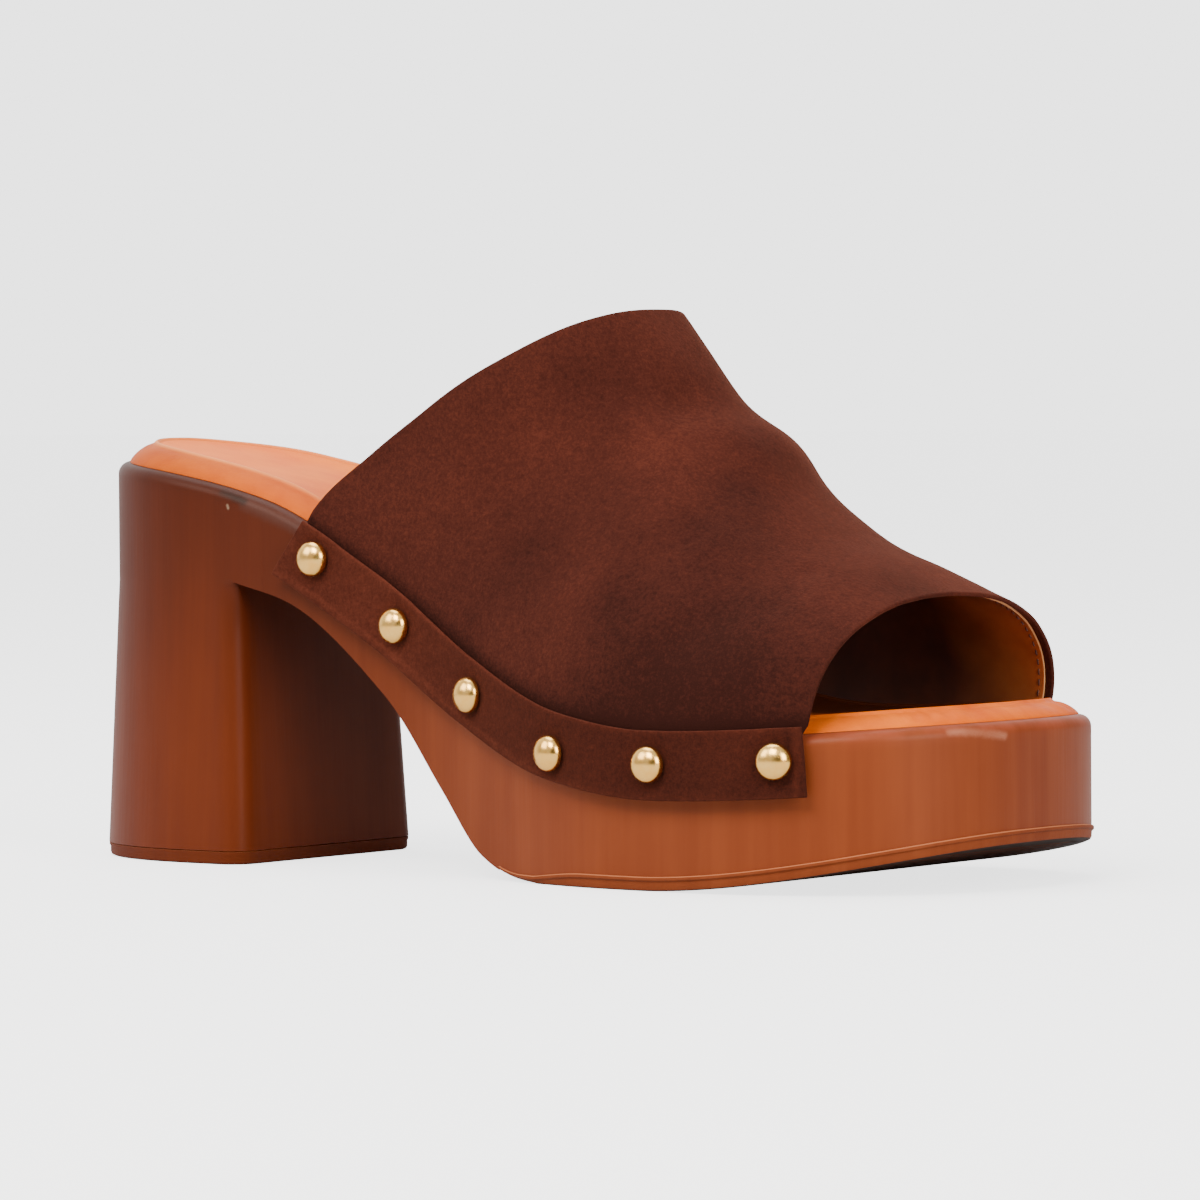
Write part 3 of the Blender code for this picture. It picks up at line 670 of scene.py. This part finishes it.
place = points_of(insole)
along = place[:, 0]
outline = [point for side in SIDES for point in wall(side, places(0, SOLE_LENGTH, 900), 0, 0)]
nearest = KDTree(len(outline))
for i, point in enumerate(outline):
    nearest.insert(point, i)
nearest.balance()
edge_distance = np.array([nearest.find((x, y, 0))[2] for x, y, z in place]) - INSOLE_INSET - INSOLE_BORDER
in_bed = progress(edge_distance, 0, BED_EDGE)
keep_value(insole, "seat", in_bed * progress(along, *POLISHED_BED))
# Painted highlight along the ridge at the heel
keep_value(insole, "ridge", 0.8 * fading(edge_distance, RIDGE_HALF_WIDTH) * progress(along, *RIDGE_HIGHLIGHT))
# Painted shade under the upper, on its far side and deep inside, and on the border at the heel
under_upper = progress(along, *UNDER_COLLAR) * progress(along, *INSIDE_TOE_EDGE)
shadow = under_upper * np.maximum(progress(place[:, 1], *FAR_SIDE), in_bed * progress(along, *DEEP_INSIDE))
keep_value(insole, "shaded", shadow + 0.3 * (1 - in_bed) * progress(along, *HEEL_BORDER))


# Upper. One piece of brown suede arched over the foot from the collar to the open toe, lined with tan leather
# and turned at its edges. It has been worn, so the nap lies in lighter and darker patches over soft dents;
# painted shade darkens its creases and a strip above each band.
SUEDE_THICKNESS = 0.0010
LINING_THICKNESS = 0.0005
UPPER_WALL = SUEDE_THICKNESS + LINING_THICKNESS
LINING_SETBACK = 0.0019
OUTER_COLLAR_FOOT = 0.0706
INNER_COLLAR_FOOT = 0.0740
TOE_EDGE_SETBACK = 0.0262
COLLAR_TOP = 0.1406
TOE_TOP_SETBACK = 0.0215
COLLAR_HEIGHT = 0.1203
TOE_ARCH_HEIGHT = 0.0271
RIDGE_SIDE = 0.0045
BAND_WIDTH = 0.0143
BAND_RISE = 0.0017
MARGIN_SHORT = 0.0010
MARGIN_TRIM = 0.0022
BAND_SHADOW = 0.0022
SUEDE_ROWS = 150
ARCH_COLUMNS = 60
EVENNESS = 1.3
MARGIN_COLUMNS = 8

Arch = namedtuple("Arch", "share along height full_outer full_inner slant")
ARCHES = (
    Arch(share=0.00, along=0.00, height=0.00, full_outer=3.20, full_inner=2.8, slant=1.26),
    Arch(share=0.35, along=0.28, height=0.405, full_outer=2.25, full_inner=2.4, slant=1.28),
    Arch(share=0.70, along=0.63, height=0.79, full_outer=2.15, full_inner=2.3, slant=1.18),
    Arch(share=0.88, along=0.855, height=0.915, full_outer=2.20, full_inner=2.3, slant=0.96),
    Arch(share=1.00, along=1.00, height=1.00, full_outer=2.30, full_inner=2.3, slant=0.80),
)
arch_along, arch_height, arch_outer, arch_inner, arch_slant = (
    curve_through(ARCHES, column) for column in Arch._fields[1:]
)


def below_rim(side, x, down, out):
    """Points square below the rim on the sole's wall, by a distance down, and out beyond the wall."""
    reach = 0.0005
    slope = (rim(x + reach) - rim(x - reach)) / (2 * reach)
    steep = 1 / np.sqrt(1 + slope**2)
    return wall(side, x + down * slope * steep, out, rim(x) - down * steep)


def upper_side(side, share):
    """One side of the upper's outer face: rows along the foot, columns from its margin up to its ridge."""
    share = share[:, None]
    start = OUTER_COLLAR_FOOT if side == OUTER else INNER_COLLAR_FOOT
    end = SOLE_LENGTH - TOE_EDGE_SETBACK
    x = start + (end - start) * share
    down = (BAND_WIDTH - BAND_RISE - MARGIN_SHORT) * np.linspace(1, 0, MARGIN_COLUMNS + 1)[:-1]
    trimmed = start + MARGIN_TRIM + (end - start - 2 * MARGIN_TRIM) * share
    margin = below_rim(side, trimmed, down, JOINT_GAP + UPPER_WALL)
    foot = below_rim(side, x, -BAND_RISE, JOINT_GAP + UPPER_WALL)
    toe_top = SOLE_LENGTH - TOE_TOP_SETBACK
    toe_height = rim(toe_top) + TOE_ARCH_HEIGHT
    apex = np.stack(
        [
            COLLAR_TOP + (toe_top - COLLAR_TOP) * arch_along(share),
            np.full_like(share, RIDGE_SIDE),
            COLLAR_HEIGHT + (toe_height - COLLAR_HEIGHT) * arch_height(share),
        ],
        -1,
    )
    power = 2 / (arch_outer(share) if side == OUTER else arch_inner(share))
    step = np.linspace(0, 1, ARCH_COLUMNS)
    even = step**EVENNESS / (step**EVENNESS + (1 - step) ** EVENNESS)
    turn = math.pi / 2 * even
    rise, draw = np.sin(turn) ** power, 1 - np.clip(np.cos(turn), 0, 1) ** power
    blend = np.stack([rise ** arch_slant(share), draw, rise], -1)
    return np.concatenate([margin, foot + (apex - foot) * blend], 1)


def normals_of(points):
    """Unit normals of a grid of points, from its neighbouring rows and columns."""
    normal = np.cross(np.gradient(points, axis=0), np.gradient(points, axis=1))
    return normal / np.linalg.norm(normal, axis=-1, keepdims=True)


# Creases and humps worn into the suede, and patches where its nap lies darker or lighter; darker patches in
# the creases' troughs are painted shade. A place is given by its share of the way from collar to toe, and by
# how far around the arch it lies: 0 at the outer side's foot, 1 at the ridge and 2 at the inner side's foot.
# A hump's depth and a darker patch's shade are below 0.
Crease = namedtuple("Crease", "share around to_share to_around width depth")
CREASES = (
    Crease(share=0.26, around=0.78, to_share=0.26, to_around=1.50, width=0.0062, depth=0.00190),
    Crease(share=0.44, around=0.90, to_share=0.41, to_around=1.35, width=0.0085, depth=-0.00260),
    Crease(share=0.43, around=0.92, to_share=0.56, to_around=0.56, width=0.0050, depth=0.00038),
    Crease(share=0.49, around=0.52, to_share=0.35, to_around=0.66, width=0.0075, depth=-0.00050),
    Crease(share=0.15, around=0.60, to_share=0.21, to_around=0.66, width=0.0060, depth=0.00045),
    Crease(share=0.33, around=0.28, to_share=0.42, to_around=0.36, width=0.0055, depth=0.00042),
    Crease(share=0.76, around=0.44, to_share=0.72, to_around=0.34, width=0.0058, depth=0.00045),
    Crease(share=0.70, around=0.62, to_share=0.62, to_around=0.60, width=0.0060, depth=-0.00045),
    Crease(share=0.83, around=0.50, to_share=0.80, to_around=0.66, width=0.0035, depth=0.00035),
    Crease(share=0.00, around=0.40, to_share=0.02, to_around=0.56, width=0.0110, depth=-0.00130),
    Crease(share=0.00, around=0.16, to_share=0.03, to_around=0.24, width=0.0090, depth=0.00120),
)
Patch = namedtuple("Patch", "share around radius shade")
PATCHES = (
    Patch(share=0.33, around=0.65, radius=0.0095, shade=0.30),
    Patch(share=0.47, around=0.60, radius=0.0090, shade=0.15),
    Patch(share=0.17, around=0.63, radius=0.0085, shade=-0.45),
    Patch(share=0.10, around=0.54, radius=0.0060, shade=-0.35),
    Patch(share=0.46, around=0.47, radius=0.0075, shade=-0.35),
    Patch(share=0.43, around=0.93, radius=0.0060, shade=-0.35),
    Patch(share=0.54, around=0.74, radius=0.0070, shade=-0.55),
    Patch(share=0.55, around=0.58, radius=0.0055, shade=-0.35),
    Patch(share=0.08, around=0.88, radius=0.0090, shade=0.25),
    Patch(share=0.75, around=0.44, radius=0.0085, shade=-0.40),
    Patch(share=0.56, around=0.35, radius=0.0070, shade=-0.45),
    Patch(share=0.36, around=0.28, radius=0.0100, shade=-0.30),
    Patch(share=0.80, around=0.76, radius=0.0120, shade=0.05),
    Patch(share=0.94, around=0.70, radius=0.0080, shade=0.15),
    Patch(share=0.82, around=0.51, radius=0.0070, shade=-0.35),
    Patch(share=0.90, around=0.24, radius=0.0200, shade=-1.00),
    Patch(share=0.97, around=0.82, radius=0.0110, shade=-0.60),
    Patch(share=0.62, around=0.48, radius=0.0140, shade=-0.15),
    Patch(share=0.65, around=0.65, radius=0.0130, shade=-0.55),
    Patch(share=0.75, around=0.08, radius=0.0150, shade=-0.50),
    Patch(share=0.12, around=0.22, radius=0.0200, shade=0.30),
    Patch(share=0.66, around=0.24, radius=0.0180, shade=-0.80),
    Patch(share=0.12, around=1.45, radius=0.0110, shade=0.50),
    Patch(share=0.38, around=1.55, radius=0.0090, shade=-0.60),
    Patch(share=0.60, around=1.40, radius=0.0100, shade=0.60),
    Patch(share=0.80, around=1.62, radius=0.0080, shade=-0.50),
)
UNDULATION = 0.00022


def place_on_upper(face, share, around):
    """The nearest point of the upper's grid to a place on it."""
    column = MARGIN_COLUMNS + around * (ARCH_COLUMNS - 1)
    return face[round(share * (len(face) - 1)), round(column)]


def dented(face):
    """The upper's face with its creases, its humps and the slight unevenness of all its suede."""
    depth = np.zeros(face.shape[:2])
    for crease in CREASES:
        start = place_on_upper(face, crease.share, crease.around)
        line = place_on_upper(face, crease.to_share, crease.to_around) - start
        along = np.clip((face - start) @ line / (line @ line), 0, 1)
        away = np.linalg.norm(face - start - along[..., None] * line, axis=-1)
        depth += crease.depth * fading(away, crease.width)
    points = [Vector(point) for point in face.reshape(-1, 3)]
    uneven = [noise.noise(point * 55) + 0.4 * noise.noise(point * 150) for point in points]
    depth += UNDULATION * np.reshape(uneven, face.shape[:2])
    depth[:, :MARGIN_COLUMNS] = depth[:, -MARGIN_COLUMNS:] = 0
    foot = np.minimum(np.arange(face.shape[1]), np.arange(face.shape[1])[::-1]) - MARGIN_COLUMNS
    return face - normals_of(face) * (depth * np.clip(foot / 6, 0, 1))[..., None]


share = np.linspace(0, 1, SUEDE_ROWS)
outer, inner = upper_side(OUTER, share), upper_side(INNER, share)
upper_face = dented(np.concatenate([outer, inner[:, -2::-1]], 1))

# Nap: patches where the suede was brushed one way or another, a fine pile, and its bump
nap, nap_in, nap_out = new_group("suede_nap", {"Patchiness": "Float"}, {"Shade": "Float", "Height": "Float"})
patches = noise_over(nap, (26, 26, 34), 3, 0.5, 0.5)
brushed = noise_over(nap, (420, 420, 520), 4, 0.7)
pile = noise_over(nap, (1300, 1300, 1300), 4, 0.8)
amount = math_node(nap, "MULTIPLY", patches, 0.5)
amount = math_node(nap, "MULTIPLY_ADD", brushed, 0.4, amount)
amount = math_node(nap, "MULTIPLY_ADD", pile, 1.0, amount)
centred = math_node(nap, "SUBTRACT", amount, 0.95)
amount = math_node(nap, "MULTIPLY_ADD", centred, nap_in.outputs["Patchiness"], 0.5, clamp=True)
nap.links.new(amount, nap_out.inputs["Shade"])
nap.links.new(pile, nap_out.inputs["Height"])


def suede_finish(name, patchiness, dark, middle, light):
    """Brown suede with a nap of its own contrast and colours."""
    finish, tree, shader = new_finish(
        name, Roughness=0.95, Specular_IOR_Level=0.06, Sheen_Weight=0.16, Sheen_Roughness=0.4,
        Sheen_Tint=colour(214, 128, 96),
    )
    nap_here = add_node(tree, "Group", {"Patchiness": patchiness}, node_tree=nap).outputs
    # The kept value makes the nap lighter or darker, and also carries the painted shade and painted
    # highlights set on the upper and bands
    shade = math_node(tree, "MULTIPLY_ADD", kept_value(tree, "brushed"), 0.42, nap_here["Shade"])
    tree.links.new(ramp(tree, shade, (0.0, dark), (0.5, middle), (1.0, light)), shader.inputs["Base Color"])
    add_relief(tree, shader, 0.5, 0.0003, nap_here["Height"])
    return finish


def add_sheet(name, face, thickness, material, softness):
    """A sheet of leather behind the face given, with its cut edges softened."""
    piece = add_piece(name, [face], material)
    middle = piece.data.polygons[len(piece.data.polygons) // 2]
    away = np.linalg.norm(face - HEEL_MIDDLE - np.array(middle.center), axis=-1)
    nearest = np.unravel_index(np.argmin(away), away.shape)
    if Vector(normals_of(face)[nearest]).dot(middle.normal) < 0:
        piece.data.flip_normals()
    shell = piece.modifiers.new("thickness", "SOLIDIFY")
    shell.thickness = thickness
    shell.offset = -1
    shell.use_even_offset = True
    soft = piece.modifiers.new("soft_edges", "BEVEL")
    soft.width = softness
    soft.segments = 4
    soft.limit_method = "ANGLE"
    soft.angle_limit = math.radians(50)
    return piece


def lengths_along(line):
    """How far along a line each of its points lies."""
    return np.concatenate([[0], np.cumsum(np.linalg.norm(np.diff(line, axis=0), axis=1))])


def at_lengths(line, reach, at):
    """The rows of values that a line has at lengths along it."""
    return np.stack([np.interp(at, reach, line[:, axis]) for axis in range(3)], -1)


def trimmed(face, setback):
    """The face cut short by the setback at its collar and toe, measured along each of its columns."""
    cut = np.empty_like(face)
    for column in range(face.shape[1]):
        reach = lengths_along(face[:, column])
        at = np.linspace(setback, reach[-1] - setback, len(face))
        cut[:, column] = at_lengths(face[:, column], reach, at)
    return cut


suede = suede_finish("brown_suede_worn", 1.4, (42, 17, 12), (64, 28, 20), (85, 39, 27))
upper = add_sheet("upper_suede", upper_face, SUEDE_THICKNESS, suede, 0.00045)
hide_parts("upper")

place = points_of(upper)
# Nap patches; those along the creases' troughs are painted shade
nap_and_painted_shade = np.zeros(len(place))
for patch in PATCHES:
    away = np.linalg.norm(place - place_on_upper(upper_face, patch.share, patch.around), axis=1)
    nap_and_painted_shade += patch.shade * fading(away, patch.radius)
# Painted shadow: a dark strip on the upper just above each band's top edge
above_band = place[:, 2] - rim(place[:, 0]) - BAND_RISE
keep_value(upper, "brushed", nap_and_painted_shade - 0.9 * fading(above_band, BAND_SHADOW))

# Lining: pale tan near its openings; painted shade darkens it deep inside and high under the arch
LINING_SKIN = 0.00002
TOE_LIGHT = 0.026
COLLAR_LIGHT = 0.080
ARCH_SHADE = Stretch(start=0.044, end=0.060)

lining_leather, tree, shader = new_finish("tan_lining", Roughness=0.55)
mottle = noise_over(tree, (120, 120, 120), 4)
pale = ramp(tree, mottle, (0.3, (190, 98, 44)), (0.7, (216, 122, 62)))
painted_shade_lining = ramp(tree, mottle, (0.3, (60, 24, 10)), (0.7, (78, 34, 15)))
# Painted shade deep inside the upper and high under its arch
tree.links.new(mixed(tree, kept_value(tree, "depth"), pale, painted_shade_lining), shader.inputs["Base Color"])
cut_leather = new_finish("lining_cut_edge", Base_Color=colour(206, 148, 92), Roughness=0.7)[0]

lining_face = upper_face - normals_of(upper_face) * (SUEDE_THICKNESS + LINING_SKIN)
lining_face = trimmed(lining_face, LINING_SETBACK)
thickness = LINING_THICKNESS - LINING_SKIN
lining = add_sheet("lining", lining_face, thickness, lining_leather, 0.0001)
lining.data.materials.append(cut_leather)
lining.modifiers["thickness"].material_offset_rim = 1
place = points_of(lining)
from_toe = progress(place[:, 0], lining_face[-1, :, 0].max(), lining_face[-1, :, 0].max() - TOE_LIGHT)
from_collar = progress(place[:, 0], OUTER_COLLAR_FOOT, OUTER_COLLAR_FOOT + COLLAR_LIGHT)
high = progress(place[:, 2], *ARCH_SHADE)
# Painted shade: strongest away from the toe and collar openings and high under the arch
keep_value(lining, "depth", np.minimum(np.maximum(from_toe**0.7, 0.8 * high), from_collar))

# Lining stitches: a row inside each opening, close to the lining's edge
STITCH_SETBACK = 0.0013
STITCH_SPACING = 0.0024
STITCH_LENGTH = 0.0017
STITCH_RADIUS = 0.00022
STITCH_LIFT = 0.0001
STITCH_SAG = 0.00022

thread = new_finish("brown_thread", Base_Color=colour(78, 38, 20), Roughness=0.6)[0]
inside = lining_face - normals_of(lining_face) * LINING_THICKNESS
inside = trimmed(inside, STITCH_SETBACK)[:, MARGIN_COLUMNS + 2 : -MARGIN_COLUMNS - 2]
inwards = -normals_of(inside)
along, turn = np.meshgrid(np.linspace(-1, 1, 7), np.linspace(0, 2 * math.pi, 9), indexing="ij")
thick = STITCH_RADIUS * np.sqrt(1 - 0.98 * along**4)
sunk = STITCH_LIFT - STITCH_SAG * along**2
sheets = []
for row in (0, -1):
    reach = lengths_along(inside[row])
    for start in np.arange(STITCH_SPACING, reach[-1] - STITCH_SPACING, STITCH_SPACING):
        begin, end = (at_lengths(inside[row], reach, at) for at in (start, start + STITCH_LENGTH))
        lift = at_lengths(inwards[row], reach, start)
        across = np.cross(end - begin, lift) / np.linalg.norm(np.cross(end - begin, lift))
        sheets.append(
            (begin + end) / 2
            + along[..., None] / 2 * (end - begin)
            + (thick * np.cos(turn))[..., None] * across
            + (thick * np.sin(turn) + sunk)[..., None] * lift
        )
add_piece("lining_stitches", sheets, thread)


# Bands. A strip of the same suede, darker towards the toes, covers the upper's margin along each side of the
# sole. Each of its six nails presses a shallow dimple into it.
BAND_WALL = 0.0013
BAND_SETBACK = 0.0008
BAND_SLANT = 0.0026
DIMPLE_DEPTH = 0.0005
DIMPLE_RADIUS = 0.0062
CUT_EDGE = 0.0007
FOLD_PLACE = 0.0016
FOLD_WIDTH = 0.0005
BAND_LENGTHS = 150
BAND_ROWS = 18
BACK_SLACK = 0.0002
STUDS = 6

# How light the band's nap starts at its back end, and how much darker it grows between two shares of its
# length towards the toes
BAND_NAP_START = 0.15
BAND_NAP_DARKENING = 0.75
DARKENING = Stretch(start=0.273, end=0.727)

band_suede = suede_finish("band_suede", 1.2, (44, 17, 11), (66, 28, 18), (88, 41, 28))


def stud_seat(side, number):
    """Middle of a nail's flat back and the direction that it faces, from its solid."""
    corners = points_of(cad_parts[f"stud_{SIDES[side]}_{number}"])
    x = corners[:, 0].mean()
    towards = wall(side, x, 1, 0) - wall(side, x, 0, 0)
    height = corners @ towards
    return corners[height < height.min() + BACK_SLACK].mean(0), towards


for side, name in SIDES.items():
    start = OUTER_COLLAR_FOOT if side == OUTER else INNER_COLLAR_FOOT
    end = SOLE_LENGTH - TOE_EDGE_SETBACK - BAND_SETBACK
    share = np.linspace(0, 1, BAND_LENGTHS)[:, None]
    down = np.linspace(BAND_WIDTH - BAND_RISE, -BAND_RISE, BAND_ROWS)
    back = BAND_SLANT * (1 - share) * (down + BAND_RISE) / BAND_WIDTH
    face = below_rim(side, start + (end - start) * share - back, down, UPPER_WALL + 2 * JOINT_GAP + BAND_WALL)
    if side == INNER:
        face = face[:, ::-1]
    outwards = normals_of(face)
    for number in range(1, STUDS + 1):
        seat, towards = stud_seat(side, number)
        near = np.linalg.norm(face - seat, axis=-1) / DIMPLE_RADIUS
        face = face - outwards * (DIMPLE_DEPTH * np.exp(-2.2 * near**4))[..., None]
    band = add_sheet(f"band_{name}_suede", face, BAND_WALL - DIMPLE_DEPTH, band_suede, 0.0003)
    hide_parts(f"band_{name}")
    place = points_of(band)
    above = place[:, 2] - rim(place[:, 0]) + BAND_WIDTH / 2 - BAND_RISE
    to_front = end - place[:, 0]
    to_edge = np.minimum(BAND_WIDTH / 2 - np.abs(above), to_front)
    share = (place[:, 0] - start) / (end - start)
    # Darker towards the toes
    darkened = BAND_NAP_START - BAND_NAP_DARKENING * progress(share, *DARKENING)
    # Paler cut edges, partly their own colour and partly a painted highlight, and painted shade along the
    # fold near the front end
    edge_highlight_and_fold_shade = 0.6 * fading(to_edge, CUT_EDGE) - 0.5 * fading(to_front - FOLD_PLACE, FOLD_WIDTH)
    keep_value(band, "brushed", darkened + edge_highlight_and_fold_shade)


# Nails. Domed heads of pale polished gold, driven through the bands into the sole by hand.
STUD_RADIUS = 0.0038
STUD_HEIGHT = 0.0029
STUD_EDGE = 0.0004

gold, tree, shader = new_finish("pale_gold", Metallic=1.0)
wear = noise_over(tree, (420, 420, 420), 5, 0.7)
sheen = ramp(tree, wear, (0.3, (254, 190, 92)), (0.7, (255, 207, 118)))
tree.links.new(sheen, shader.inputs["Base Color"])
tree.links.new(clamped(tree, wear, 0.3, 0.75, 0.20, 0.28), shader.inputs["Roughness"])

turns = np.linspace(0, 2 * math.pi, 49)
rings = [(0, 0), (STUD_RADIUS, 0)]
for turn in np.linspace(0, math.pi / 2, 16):
    rings.append((STUD_RADIUS * math.cos(turn), STUD_EDGE + (STUD_HEIGHT - STUD_EDGE) * math.sin(turn)))
head = np.array([[(radius * math.cos(t), radius * math.sin(t), z) for t in turns] for radius, z in rings])
for side, name in SIDES.items():
    for number in range(1, STUDS + 1):
        seat, towards = stud_seat(side, number)
        turned = np.array(Vector(towards).to_track_quat("Z", "Y").to_matrix())
        stud = add_piece(f"stud_{name}_{number}_gold", [seat + head @ turned.T], gold)
        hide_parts(f"stud_{name}_{number}")


# Floor and light. A pale floor without an edge in sight, four soft lights, and a pale room that is brightest
# behind the shoe, and darker where the viewer stands and beyond the toes.
FLOOR_SIZE = 60
ROOM_TOP = 0.85
ROOM_LOW = 0.55
ROOM_BACK = 1.1
BACKDROP = 3.0
FLOOR_GLOW = 2.4
BRIGHTER_SIDE = (-0.8, 0.6, 0.0)
WHITE = (1, 1, 1, 1)

# Darker sides of the room: where each begins and ends around its direction, and how much light is left in it
Dark = namedtuple("Dark", "side start end left")
DARKER = (
    Dark(side=(0.59, -0.80, 0.05), start=0.80, end=0.975, left=0.02),
    Dark(side=(0.75, 0.66, 0.00), start=0.20, end=0.900, left=0.35),
)

floor_mesh = bpy.data.meshes.new("floor")
corners = [(x * FLOOR_SIZE / 2, y * FLOOR_SIZE / 2, 0) for x, y in ((-1, -1), (1, -1), (1, 1), (-1, 1))]
floor_mesh.from_pydata(corners, [], [range(4)])
floor = bpy.data.objects.new("floor", floor_mesh)
bpy.context.scene.collection.objects.link(floor)
floor_paint, tree, shader = new_finish(
    "pale_floor", Base_Color=(0.6, 0.6, 0.6, 1), Roughness=0.9, Specular_IOR_Level=0.1, Emission_Color=WHITE
)
seen = add_node(tree, "LightPath").outputs["Is Camera Ray"]
tree.links.new(clamped(tree, seen, 0, 1, 0, FLOOR_GLOW), shader.inputs["Emission Strength"])
floor_mesh.materials.append(floor_paint)

Light = namedtuple("Light", "name place power size warmth")
LIGHTS = (
    Light(name="key", place=(0.3, -1.2, 1.3), power=28, size=0.8, warmth=(1.0, 0.97, 0.93)),
    Light(name="fill", place=(-0.8, -1.2, 1.0), power=14, size=0.9, warmth=(1.0, 0.98, 0.96)),
    Light(name="side", place=(1.3, -0.35, 0.55), power=15, size=0.7, warmth=(1.0, 0.97, 0.94)),
    Light(name="top", place=(-0.3, 0.2, 1.6), power=14, size=1.0, warmth=(1.0, 1.0, 1.0)),
)
for light in LIGHTS:
    lamp = bpy.data.lights.new(light.name, "AREA")
    lamp.energy, lamp.size, lamp.color = light.power, light.size, light.warmth
    made = bpy.data.objects.new(light.name, lamp)
    bpy.context.scene.collection.objects.link(made)
    made.location = light.place
    made.rotation_euler = (Vector(VIEW_AIM) - Vector(light.place)).to_track_quat("-Z", "Y").to_euler()

world = bpy.data.worlds.new("room")
bpy.context.scene.world = world
world.use_nodes = True
tree = world.node_tree
background = tree.nodes["Background"]
ray = add_node(tree, "TexCoord").outputs["Generated"]
height = add_node(tree, "SeparateXYZ", {0: ray}).outputs["Z"]
overhead = clamped(tree, height, 0.0, 0.9, ROOM_LOW, ROOM_TOP)
behind = vector_node(tree, "DOT_PRODUCT", {0: ray, 1: BRIGHTER_SIDE}, "Value")
brightness = math_node(tree, "ADD", overhead, clamped(tree, behind, 0.3, 0.95, 0.0, ROOM_BACK))
for dark in DARKER:
    towards = vector_node(tree, "DOT_PRODUCT", {0: ray, 1: dark.side}, "Value")
    kept = clamped(tree, towards, dark.start, dark.end, 1.0, dark.left)
    brightness = math_node(tree, "MULTIPLY", brightness, kept)
seen = add_node(tree, "LightPath").outputs["Is Camera Ray"]
strength = add_node(tree, "Mix", {0: seen, 2: brightness, 3: BACKDROP}).outputs[0]
tree.links.new(strength, background.inputs["Strength"])
background.inputs["Color"].default_value = WHITE
